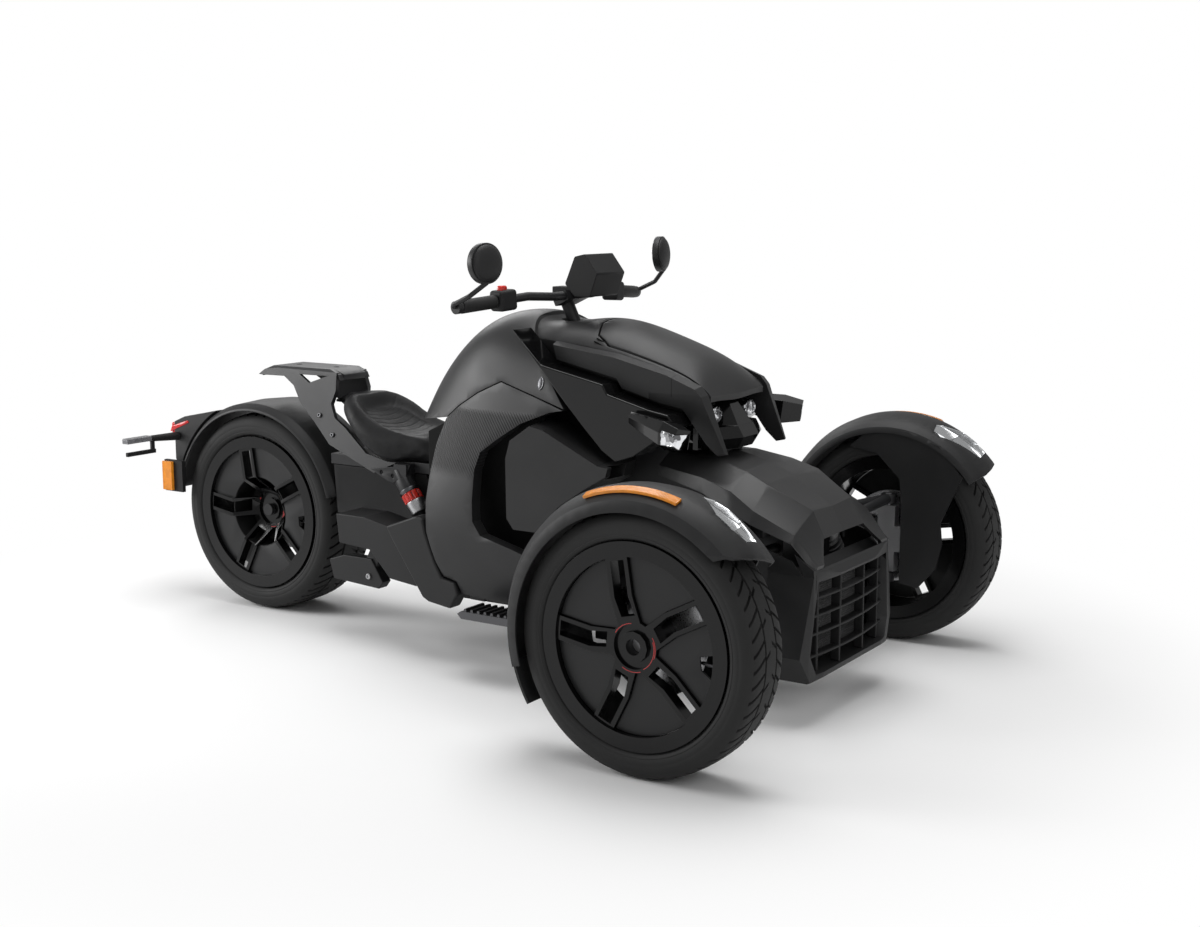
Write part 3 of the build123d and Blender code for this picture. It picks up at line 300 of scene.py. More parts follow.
def cell_reflector(name, dark, light):
    """Bright lamp reflector broken into small cells."""
    mat, shader = new_material(name, light, 0.16, metal=1.0)
    cells = texture(mat, "ShaderNodeTexVoronoi", object_coords(mat, (1, 1, 0.6)), 60.0, feature="F1",
                    distance="CHEBYCHEV")
    tone = axis_values(mat, cells.outputs["Color"])["X"]
    vary_color(mat, shader, ramp(mat, tone, 0.25, 0.8), dark, light)
    bump(mat, shader, cells.outputs["Distance"], 0.6, 0.004)
    return mat


MATS = {}


def paint(name, description, color):
    return bpy.props.FloatVectorProperty(name=name, description=description, subtype="COLOR", default=color,
                                         min=0, max=1)


class TrikeFinishes(bpy.types.PropertyGroup):
    body_color: paint("Body", "Satin body panels", (0.021, 0.021, 0.0215))
    matte_color: paint("Matte", "Matte mudguards and lower covers", (0.017, 0.017, 0.0175))
    gloss_color: paint("Gloss", "Piano-black accents", (0.004, 0.004, 0.0042))
    wheel_color: paint("Wheels", "Covers of the wheels", (0.013, 0.013, 0.0135))
    tyre_color: paint("Tyres", "Tyre rubber", (0.019, 0.019, 0.019))
    amber_color: paint("Amber", "Side markers and reflectors", (0.80, 0.27, 0.02))


class TrikeSizes(bpy.types.PropertyGroup):
    groove_depth: bpy.props.FloatProperty(
        name="Groove depth", description="Depth of the tread grooves", default=0.006, unit="LENGTH",
        min=0.001, max=0.01)
    tread_pitches: bpy.props.IntProperty(
        name="Tread blocks", description="Tread blocks around a tyre", default=54, min=20, max=90)
    camera_lens: bpy.props.FloatProperty(
        name="Lens", description="Focal length on a 36 mm sensor", default=48.75, unit="CAMERA",
        min=10, max=300)
    camera_yaw: bpy.props.FloatProperty(
        name="Camera yaw", description="Direction that the camera looks along",
        default=math.radians(122.92), unit="ROTATION")
    camera_pitch: bpy.props.FloatProperty(
        name="Camera pitch", description="Tilt of the camera below level",
        default=math.radians(-9.22), unit="ROTATION")


# Modelling helpers

# Distance below which corners count as one, and angle below which neighbouring faces count as flat
MERGE = 0.00002
FLAT = math.radians(0.5)


def clear_selection():
    """Leaves edit mode and selects nothing."""
    if bpy.context.object and bpy.context.object.mode != "OBJECT":
        bpy.ops.object.mode_set(mode="OBJECT")
    bpy.ops.object.select_all(action="DESELECT")


def start(name):
    """Names the primitive that was just added."""
    piece = bpy.context.object
    piece.name = name
    piece.data.name = name
    return piece


def activate(piece):
    """Makes a piece the only one selected, and the active one."""
    clear_selection()
    piece.select_set(True)
    bpy.context.view_layer.objects.active = piece


def edit(piece):
    activate(piece)
    bpy.ops.object.mode_set(mode="EDIT")


def pick(test):
    """Selects the faces of the piece in edit mode that pass a test."""
    bpy.ops.mesh.select_mode(type="FACE")
    mesh = bmesh.from_edit_mesh(bpy.context.object.data)
    for items in (mesh.verts, mesh.edges, mesh.faces):
        for item in items:
            item.select = False
    for face in mesh.faces:
        if test(face):
            face.select_set(True)
    mesh.select_flush_mode()
    bmesh.update_edit_mesh(bpy.context.object.data)


def select_all():
    bpy.ops.mesh.select_all(action="SELECT")


def leave():
    """Goes back to object mode."""
    bpy.ops.object.mode_set(mode="OBJECT")


def press_in(piece, test, *steps, each=False):
    """Insets the faces that pass a test by steps of width and depth, together or each by itself."""
    edit(piece)
    pick(test)
    for width, depth in steps:
        bpy.ops.mesh.inset(thickness=width, depth=depth, use_individual=each)
    leave()


def faces_up(face):
    return face.normal.z > 0.9


def settle(piece):
    """Applies the piece's place so that its object sits at the origin."""
    activate(piece)
    bpy.ops.object.transform_apply(location=True, rotation=True, scale=True)


def smooth_shade(angle):
    bpy.ops.object.shade_smooth_by_angle(angle=math.radians(angle))


def start_block(name, size):
    """New box of a given size."""
    clear_selection()
    bpy.ops.mesh.primitive_cube_add(size=1, location=(0, 0, 0))
    piece = start(name)
    edit(piece)
    select_all()
    bpy.ops.transform.resize(value=size)
    leave()
    return piece


def start_drum(name, radius, depth, sides, place=(0, 0, 0), turn=(0, 0, 0)):
    """New cylinder along Z, or turned."""
    clear_selection()
    bpy.ops.mesh.primitive_cylinder_add(vertices=sides, radius=radius, depth=depth, location=place,
                                        rotation=turn)
    piece = start(name)
    settle(piece)
    return piece


def round_edges(piece, width, segments=2, angle=30):
    """Rounds the edges that are sharper than an angle in degrees."""
    activate(piece)
    rounding = piece.modifiers.new("rounded edges", "BEVEL")
    rounding.width = width
    rounding.segments = segments
    rounding.limit_method = "ANGLE"
    rounding.angle_limit = math.radians(angle)
    bpy.ops.object.modifier_apply(modifier=rounding.name)
    smooth_shade(40)


def outward(piece):
    """Merges doubled corners and turns all faces outwards."""
    edit(piece)
    select_all()
    bpy.ops.mesh.remove_doubles(threshold=0.00001)
    bpy.ops.mesh.normals_make_consistent(inside=False)
    leave()


def finish_piece(piece, body, material, replaces=()):
    """Gives a piece its material and says which body it rides and which nodes it replaces."""
    settle(piece)
    piece.data.materials.clear()
    piece.data.materials.append(MATS[material])
    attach(piece, body)
    if replaces:
        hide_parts(*replaces)
    return piece


def copy_piece(piece, name, matrix):
    """Copy with its own mesh, moved by a matrix that goes into the mesh."""
    made = bpy.data.objects.new(name, piece.data.copy())
    bpy.context.scene.collection.objects.link(made)
    made.data.transform(matrix)
    if matrix.determinant() < 0:
        made.data.flip_normals()
    return made


def join(pieces, name):
    """One piece out of several."""
    clear_selection()
    for piece in pieces:
        piece.select_set(True)
    bpy.context.view_layer.objects.active = pieces[0]
    bpy.ops.object.join()
    made = bpy.context.object
    made.name = name
    made.data.name = name
    return made


def aim(direction):
    """Rotation that takes +Z to a direction."""
    return Vector(direction).to_track_quat("Z", "Y").to_matrix().to_4x4()


class TRIKE_OT_materials(bpy.types.Operator):
    """Makes the paints, plastics, rubber, metals and lenses of the vehicle"""
    bl_idname = "trike.materials"
    bl_label = "Materials"

    def execute(self, context):
        look = context.scene.trike_finishes
        body = tuple(look.body_color)
        matte = tuple(look.matte_color)
        made = [
            grained_plastic("satin body", body, 0.4, spec=0.3),
            grained_plastic("matte mudguard", matte, 0.5, spec=0.28),
            grained_plastic("matte moulding", shaded(matte, 0.8), 0.6, grain=900, spec=0.22),
            grained_plastic("wheel paint", tuple(look.wheel_color), 0.38, grain=1600, depth=0.0001,
                            spec=0.32),
            grained_plastic("frame paint", (0.017, 0.017, 0.018), 0.42, grain=700, spec=0.3),
            # Near black; on the vent slots it is painted shade standing for the openings
            grained_plastic("dark void", (0.006, 0.006, 0.006), 0.8, spec=0.2),
            grained_plastic("wheel void", (0.004, 0.004, 0.004), 0.45, grain=1400, spec=0.3),
            gloss_plastic("gloss black", tuple(look.gloss_color), 0.11, spec=0.3),
            gloss_plastic("spoke paint", (0.002, 0.002, 0.0022), 0.18, spec=0.25),
            gloss_plastic("screen glass", (0.006, 0.007, 0.008), 0.06, spec=0.6),
            gloss_plastic("red mark", (0.45, 0.02, 0.02), 0.25),
            gloss_plastic("red knob", (0.62, 0.03, 0.02), 0.2),
            rubber_finish("tyre rubber", tuple(look.tyre_color)),
            rubber_finish("grip rubber", (0.018, 0.018, 0.018), 0.65, 700),
            metal_finish("cast aluminium", (0.42, 0.42, 0.43), 0.42, depth=0.0006, grain=420),
            metal_finish("turned steel", (0.46, 0.46, 0.47), 0.3, brushed=(1, 30, 1)),
            metal_finish("dark steel", (0.10, 0.10, 0.105), 0.35),
            metal_finish("mirror silver", (0.8, 0.82, 0.84), 0.09, depth=0.00001),
            metal_finish("marker reflector", (0.58, 0.59, 0.6), 0.24, depth=0.0001),
            cell_reflector("lamp reflector", (0.12, 0.12, 0.125), (0.8, 0.81, 0.83)),
            lens_finish("clear lens", (0.9, 0.92, 0.95), 0.06, 60, "Y", transmission=0.85),
            # The amber and red lenses carry a painted glow, on the amber reflectors and red tail wedges too,
            # which are no lamps
            lens_finish("amber lens", tuple(look.amber_color), 0.16, 90, "X", glow=0.06),
            lens_finish("red lens", (0.62, 0.02, 0.02), 0.14, 70, "Y", glow=0.05),
            lens_finish("smoked lens", (0.20, 0.20, 0.21), 0.12, 70, "Y"),
            leather("seat leather", (0.008, 0.008, 0.0085)),
            ribbed_panel("ribbed panel", body),
            radiator_core("radiator core", (0.003, 0.003, 0.003), (0.045, 0.045, 0.046)),
            seamed_plastic("cowl blade", body, 0.42, st(-236, 0, 0).x, 0.745, 0.802),
        ]
        MATS.update({finish.name: finish for finish in made})
        return {"FINISHED"}


def loose_parts(mesh):
    """Sets of joined vertices of a mesh."""
    left = set(mesh.verts)
    parts = []
    while left:
        part = {left.pop()}
        front = list(part)
        while front:
            vert = front.pop()
            for edge in vert.link_edges:
                other = edge.other_vert(vert)
                if other in left:
                    left.discard(other)
                    part.add(other)
                    front.append(other)
        parts.append(part)
    return parts


def box_middle(verts):
    low = Vector([min(v.co[i] for v in verts) for i in range(3)])
    high = Vector([max(v.co[i] for v in verts) for i in range(3)])
    return (low + high) / 2


def from_node(source, name, keep=None):
    """Merged copy of a solid of the model as a new piece; keep tests the middle of each loose part."""
    clear_selection()
    made = bpy.data.objects.new(name, NODES[source].data.copy())
    bpy.context.scene.collection.objects.link(made)
    edit(made)
    select_all()
    bpy.ops.mesh.remove_doubles(threshold=MERGE)
    bpy.ops.mesh.customdata_custom_splitnormals_clear()
    mesh = bmesh.from_edit_mesh(made.data)
    if keep:
        doomed = [vert for part in loose_parts(mesh) if not keep(box_middle(part)) for vert in part]
        bmesh.ops.delete(mesh, geom=doomed, context="VERTS")
        bmesh.update_edit_mesh(made.data)
    select_all()
    bpy.ops.mesh.dissolve_limited(angle_limit=FLAT)
    leave()
    smooth_shade(30)
    return made


# Tyres

# Half of a tyre's section from the rim seat outwards, as shares of its half width and of its height
TYRE_PROFILE = [
    (0.812, 0.006), (0.815, 0.27), (0.90, 0.292), (0.965, 0.345), (0.985, 0.40), (0.975, 0.415),
    (0.998, 0.47), (1.0, 0.56), (0.994, 0.575), (1.0, 0.60), (0.995, 0.66), (0.975, 0.73), (0.945, 0.795),
    (0.905, 0.855), (0.855, 0.905), (0.79, 0.94), (0.70, 0.963), (0.60, 0.977), (0.50, 0.986), (0.42, 0.991),
    (0.36, 0.994), (0.28, 0.996), (0.16, 0.999), (0.06, 1.0),
]
TYRE_SEAT_RADIUS = 0.2033

# Tread: columns of faces in a block, and the reach of each kind of groove as shares of the half width
TREAD_COLUMNS = 4
ROUND_GROOVE = (0.29, 0.36)
SHOULDER_GROOVE = (0.36, 0.86)
MIDDLE_GROOVE = (0.10, 0.28)
GROOVE_LIP = 0.0007
GROOVE_SLANT = 0.19


def make_tyre(name, axle, section, width, sizes):
    """Spins the tyre's section about its axle and cuts slanted shoulder grooves and two round grooves."""
    half = width / 2
    points = [(fy * half, TYRE_SEAT_RADIUS + fr * section) for fy, fr in TYRE_PROFILE]
    points = points + [(-y, r) for y, r in reversed(points)]
    clear_selection()
    bpy.ops.mesh.primitive_circle_add(vertices=len(points), radius=0.1, fill_type="NOTHING",
                                      location=(0, 0, 0))
    piece = start(name)
    edit(piece)
    mesh = bmesh.from_edit_mesh(piece.data)
    mesh.verts.ensure_lookup_table()
    ring = list(mesh.verts)
    for vert, (y, r) in zip(ring, points):
        vert.co = Vector((axle.x, axle.y + y, axle.z + r))
    for edge in list(mesh.edges):
        if {edge.verts[0].index, edge.verts[1].index} == {0, len(ring) - 1}:
            mesh.edges.remove(edge)
    bmesh.update_edit_mesh(piece.data)
    select_all()
    steps = sizes.tread_pitches * TREAD_COLUMNS
    bpy.ops.mesh.spin(steps=steps, angle=math.tau, center=axle, axis=(0, 1, 0))
    select_all()
    bpy.ops.mesh.remove_doubles(threshold=MERGE)
    step = math.tau / steps

    def groove(face):
        place = face.calc_center_median()
        across = abs(place.y - axle.y) / half
        turn = math.atan2(place.x - axle.x, place.z - axle.z) % math.tau
        column = int(turn / step) % TREAD_COLUMNS
        if ROUND_GROOVE[0] < across < ROUND_GROOVE[1]:
            return True
        side = 0 if place.y > axle.y else 2
        if SHOULDER_GROOVE[0] < across < SHOULDER_GROOVE[1] and column == side:
            return True
        every_other = int(turn / step / TREAD_COLUMNS) % 2 == 0
        in_middle = MIDDLE_GROOVE[0] < across < MIDDLE_GROOVE[1]
        return in_middle and column == (side + 1) % TREAD_COLUMNS and every_other

    pick(groove)
    bpy.ops.mesh.inset(thickness=GROOVE_LIP, depth=-sizes.groove_depth, use_even_offset=True)
    mesh = bmesh.from_edit_mesh(piece.data)
    for vert in mesh.verts:
        across = abs(vert.co.y - axle.y) / half
        slant = max(0.0, across - 0.05) * GROOVE_SLANT
        spot = vert.co - axle
        radius = math.hypot(spot.x, spot.z)
        angle = math.atan2(spot.x, spot.z) + slant
        vert.co = axle + Vector((radius * math.sin(angle), spot.y, radius * math.cos(angle)))
    bmesh.update_edit_mesh(piece.data)
    select_all()
    bpy.ops.mesh.normals_make_consistent(inside=False)
    leave()
    smooth_shade(38)
    return piece


class TRIKE_OT_tyres(bpy.types.Operator):
    """Moulds the three tyres with their tread"""
    bl_idname = "trike.tyres"
    bl_label = "Tyres"

    def execute(self, context):
        for label in ("front_right", "front_left", "rear"):
            axle = joint_place(label + "_wheel_spin")
            low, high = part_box(label + "_tyre")
            section = (high.z - low.z) / 2 - TYRE_SEAT_RADIUS
            piece = make_tyre(label + "_treaded_tyre", axle, section, high.y - low.y,
                              context.scene.trike_sizes)
            finish_piece(piece, label + "_wheel", "tyre rubber", [label + "_tyre"])
        return {"FINISHED"}


# Seat cover, in metres: mesh size, how far it is drawn in first, and how far it may swell
COVER_VOXEL = 0.0055
COVER_INSET = 0.003
COVER_SWELL = 0.008
COVER_FRAMES = 20

# Scoop for the rider, in metres; its ends are stations in millimetres
SCOOP_DEPTH = 0.034
SCOOP_HALF_W = 0.118
SCOOP_END = 0.105
SCOOP_CURVE = 2.6
SCOOP_REAR = -1238
SCOOP_FRONT = -1010

# Ribs across the seat: first and last place behind the front axle, pitch and bend, in millimetres
RIBS_FIRST = 1165
RIBS_LAST = 1300
RIB_PITCH = 22
RIB_BEND = 25

# Depth of a rib's seam and half width of the ribs in metres, and where on its wave a seam begins
RIB_DEPTH = 0.0015
RIB_HALF_W = 0.085
RIB_EDGE = 0.72

# The seat's nose is drawn forward from this station by this many metres
NOSE_START = -1120
NOSE_STRETCH = 0.022


class TRIKE_OT_seat(bpy.types.Operator):
    """Pads the solo seat: a foam shape with a scooped middle under a stretched cover"""
    bl_idname = "trike.seat"
    bl_label = "Seat"

    def swell(self, context, piece):
        """Blows the cover up a little as a cloth under pressure."""
        rest = [vert.co.copy() for vert in piece.data.vertices]
        cloth = piece.modifiers.new("cover", "CLOTH")
        cloth.settings.use_pressure = True
        cloth.settings.uniform_pressure_force = 4.0
        cloth.settings.effector_weights.gravity = 0
        for number in range(1, COVER_FRAMES + 1):
            context.scene.frame_set(number)
        shape = piece.evaluated_get(context.evaluated_depsgraph_get()).data
        moved = [vert.co.copy() for vert in shape.vertices]
        context.scene.frame_set(1)
        piece.modifiers.remove(cloth)
        for vert, before, after in zip(piece.data.vertices, rest, moved):
            shift = after - before
            if shift.length > COVER_SWELL:
                shift *= COVER_SWELL / shift.length
            vert.co = before + shift

    def scoop(self, piece):
        """Sinks the middle, less so towards the front."""
        for vert in piece.data.vertices:
            behind = max(0.0, st(SCOOP_REAR, 0, 0).x - vert.co.x) / SCOOP_END
            room = 1 - (abs(vert.co.y) / SCOOP_HALF_W) ** SCOOP_CURVE - behind ** SCOOP_CURVE
            if room > 0 and vert.normal.z > 0.1:
                dip = min(1.0, room * 1.7)
                dip = dip * dip * (3 - 2 * dip)
                fade = min(1.0, max(0.25, (st(SCOOP_FRONT, 0, 0).x - vert.co.x) / 0.12))
                vert.co.z -= SCOOP_DEPTH * dip * fade

    def press_ribs(self, piece):
        """Presses curved seams across the sitting area."""
        for vert in piece.data.vertices:
            if vert.normal.z < 0.5:
                continue
            across = abs(vert.co.y)
            place = (FX - vert.co.x) * 1000 - RIB_BEND * (across / 0.1) ** 2
            if RIBS_FIRST < place < RIBS_LAST and across < RIB_HALF_W:
                rib = math.cos((place - RIBS_FIRST) / RIB_PITCH * math.tau)
                if rib > RIB_EDGE:
                    vert.co.z -= RIB_DEPTH * (rib - RIB_EDGE) / (1 - RIB_EDGE)

    def execute(self, context):
        piece = from_node("seat", "padded_seat")
        remesh = piece.modifiers.new("even mesh", "REMESH")
        remesh.mode = "VOXEL"
        remesh.voxel_size = COVER_VOXEL
        bpy.ops.object.modifier_apply(modifier=remesh.name)
        for vert in piece.data.vertices:
            vert.co -= vert.normal * COVER_INSET
        self.swell(context, piece)
        self.scoop(piece)
        smooth = piece.modifiers.new("relaxed cover", "SMOOTH")
        smooth.factor = 0.5
        smooth.iterations = 4
        bpy.ops.object.modifier_apply(modifier=smooth.name)
        divided = piece.modifiers.new("fine cover", "SUBSURF")
        divided.levels = divided.render_levels = 1
        bpy.ops.object.modifier_apply(modifier=divided.name)
        self.press_ribs(piece)
        nose = st(NOSE_START, 0, 0).x
        tip = max(vert.co.x for vert in piece.data.vertices)
        for vert in piece.data.vertices:
            vert.co.x += NOSE_STRETCH * max(0.0, (vert.co.x - nose) / (tip - nose))
        bpy.ops.object.shade_smooth()
        finish_piece(piece, "chassis", "seat leather", ["seat"])
        return {"FINISHED"}


def cut_across(piece, spots, normal):
    """Cuts new edges into a piece along planes."""
    edit(piece)
    for spot in spots:
        select_all()
        bpy.ops.mesh.bisect(plane_co=spot, plane_no=normal)
    leave()


# Front lamps of the mudguards: turn of their middle above level and distance from the axle
MARKER_LEAN = math.radians(57)
MARKER_RADIUS = 0.34

# The clear lens lies ahead of this place and the amber strip behind it
LENS_SPLIT = FX + 0.1


class TRIKE_OT_mudguard_lamps(bpy.types.Operator):
    """Makes the clear front lamps and amber side markers of the mudguards"""
    bl_idname = "trike.mudguard_lamps"
    bl_label = "Mudguard lamps"

    def execute(self, context):
        out = Vector((math.cos(MARKER_LEAN), 0, math.sin(MARKER_LEAN)))
        down = Vector((math.sin(MARKER_LEAN), 0, -math.cos(MARKER_LEAN)))
        for side in ("right", "left"):
            source = "front_" + side + "_fender_lamps"
            axle = joint_place("front_" + side + "_wheel_spin")
            inboard = Vector((0, 1 if side == "right" else -1, 0))
            cells = from_node(source, "front_" + side + "_lamp_cells", lambda mid: mid.x > LENS_SPLIT)
            middle = axle + out * MARKER_RADIUS
            stripe = (down - inboard * 0.42).normalized().cross(out)
            for shift in (-0.014, 0.006):
                cut_across(cells, [middle + inboard * 0.012 + stripe * shift], stripe)
            for shift in (-0.046, 0.040):
                cut_across(cells, [middle + down * shift], (down + inboard * 0.5).normalized())

            def faces_out(face):
                return face.normal.dot((face.calc_center_median() - axle).normalized()) > 0.5

            edit(cells)
            pick(faces_out)
            bpy.ops.mesh.dissolve_limited(angle_limit=math.radians(9), delimit={"NORMAL"})
            pick(faces_out)
            bpy.ops.mesh.inset(thickness=0.0013, depth=-0.0022, use_individual=True)
            leave()
            finish_piece(cells, side + "_knuckle", "marker reflector")
            strip = from_node(source, "front_" + side + "_amber_marker", lambda mid: mid.x < LENS_SPLIT)
            round_edges(strip, 0.0012, 2)
            finish_piece(strip, side + "_knuckle", "amber lens", [source])
        return {"FINISHED"}


# Corners of the red wedge on each side of the tail, as stations and heights in millimetres
TAIL_WEDGE = [(-2062, 511), (-2054, 529), (-1985, 551), (-1981, 544)]
TAIL_HALF_W = 99


class TRIKE_OT_tail(bpy.types.Operator):
    """Makes the amber reflectors, their brackets and the red wedges of the tail"""
    bl_idname = "trike.tail"
    bl_label = "Tail"

    def execute(self, context):
        outer = max(abs(c.y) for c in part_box("side_reflectors"))
        face = outer - 0.012
        mark = from_node("side_reflectors", "amber_reflectors", lambda mid: abs(mid.y) > face)
        press_in(mark, lambda f: abs(f.normal.y) > 0.9 and abs(f.calc_center_median().y) > outer - 0.004,
                 (0.004, -0.0015), each=True)
        round_edges(mark, 0.0012)
        finish_piece(mark, "chassis", "amber lens")
        holder = from_node("side_reflectors", "reflector_brackets", lambda mid: abs(mid.y) <= face)
        round_edges(holder, 0.002)
        finish_piece(holder, "chassis", "matte moulding", ["side_reflectors"])
        wedges = []
        for side in (-1, 1):
            wedge = plate("tail_wedge", [st(x, side * TAIL_HALF_W, z) for x, z in TAIL_WEDGE], 0.001)
            for vert in wedge.data.vertices:
                pushed = abs(abs(vert.co.y) * 1000 - TAIL_HALF_W) > 0.5
                vert.co.y = side * (TAIL_HALF_W + (3 if pushed else -11)) / 1000
            outward(wedge)
            wedges.append(wedge)
        made = join(wedges, "tail_wedges")
        round_edges(made, 0.0012, 2)
        finish_piece(made, "chassis", "red lens")
        return {"FINISHED"}


def on_surface(name, origin, direction):
    """Place and normal where a line first meets a solid of the model."""
    mesh = NODES[name].data
    tree = BVHTree.FromPolygons([v.co for v in mesh.vertices], [tuple(f.vertices) for f in mesh.polygons])
    place, normal, _, _ = tree.ray_cast(origin, Vector(direction))
    if place is None:
        raise RuntimeError("no surface of " + name)
    return place, normal


def plate(name, corners, thickness):
    """Flat plate through corner points, thickened along their normal."""
    clear_selection()
    bpy.ops.mesh.primitive_circle_add(vertices=len(corners), radius=0.01, fill_type="NGON",
                                      location=(0, 0, 0))
    piece = start(name)
    edit(piece)
    mesh = bmesh.from_edit_mesh(piece.data)
    mesh.verts.ensure_lookup_table()
    for vert, corner in zip(list(mesh.verts), corners):
        vert.co = corner
    mesh.normal_update()
    mesh.faces.ensure_lookup_table()
    normal = mesh.faces[0].normal.copy()
    bmesh.update_edit_mesh(piece.data)
    select_all()
    bpy.ops.mesh.extrude_region_move(TRANSFORM_OT_translate={"value": normal * thickness})
    leave()
    outward(piece)
    return piece


def cut_out(piece, cutter, operation="DIFFERENCE"):
    """Cuts a piece with another one and drops the cutter."""
    activate(piece)
    hole = piece.modifiers.new("hole", "BOOLEAN")
    hole.operation = operation
    hole.solver = "EXACT"
    hole.object = cutter
    bpy.ops.object.modifier_apply(modifier=hole.name)
    bpy.data.objects.remove(cutter)


def screws(name, places, radius, material="dark steel"):
    """Round-headed screws with a sunk socket, one at each place and direction."""
    first = start_drum(name + "_first", radius, radius, 20)
    press_in(first, faces_up, (radius * 0.25, radius * 0.25), (radius * 0.25, 0),
             (radius * 0.05, -radius * 0.5))
    copies = [copy_piece(first, name, Matrix.Translation(spot) @ aim(way)) for spot, way in places]
    bpy.data.objects.remove(first)
    made = join(copies, name)
    smooth_shade(35)
    return finish_piece(made, "chassis", material)


def arc_mark(name, centre, inner, outer, first, last, height, facing):
    """Raised arc about an axle, spun from its end face."""
    clear_selection()
    bpy.ops.mesh.primitive_plane_add(size=1, location=(0, 0, 0))
    piece = start(name)
    edit(piece)
    mesh = bmesh.from_edit_mesh(piece.data)
    begin = math.radians(first)
    ray = Vector((math.cos(begin), 0, math.sin(begin)))
    corners = [centre + ray * inner, centre + ray * outer,
               centre + ray * outer + facing * height, centre + ray * inner + facing * height]
    mesh.faces.ensure_lookup_table()
    for vert, corner in zip(list(mesh.faces[0].verts), corners):
        vert.co = corner
    bmesh.update_edit_mesh(piece.data)
    select_all()
    bpy.ops.mesh.spin(steps=14, angle=math.radians(last - first), center=centre, axis=(0, -1, 0))
    leave()
    outward(piece)
    return piece


# Corners of the window for the tyre valve, from the axle, in millimetres
VALVE_WINDOW = [(155, 0), (186, 8), (182, -43), (158, -27)]

# Red arcs on the hubs: inner and outer radius, first and last angle
HUB_ARCS = [(0.0500, 0.0515, 20, 100), (0.0530, 0.0545, 30, 80), (0.0500, 0.0515, 150, 205),
            (0.0530, 0.0545, 290, 340)]

# Rear wheel: radius of the bowl, how deep the hub sinks in it, radius of the hub, depth of the bowl
BOWL_RADIUS = 0.104
HUB_SINK = 0.056
HUB_RADIUS = 0.058
BOWL_DEPTH = 0.078

# Parts of a rim whose middle is nearer to the axle than this are its spokes, the others its covers
ON_AXLE = 0.02

# Radii between which the face of a hub takes its marks
HUB_FACE = (0.0465, 0.0562)

# Turn that lays a cylinder across the vehicle
ACROSS = (math.pi / 2, 0, 0)


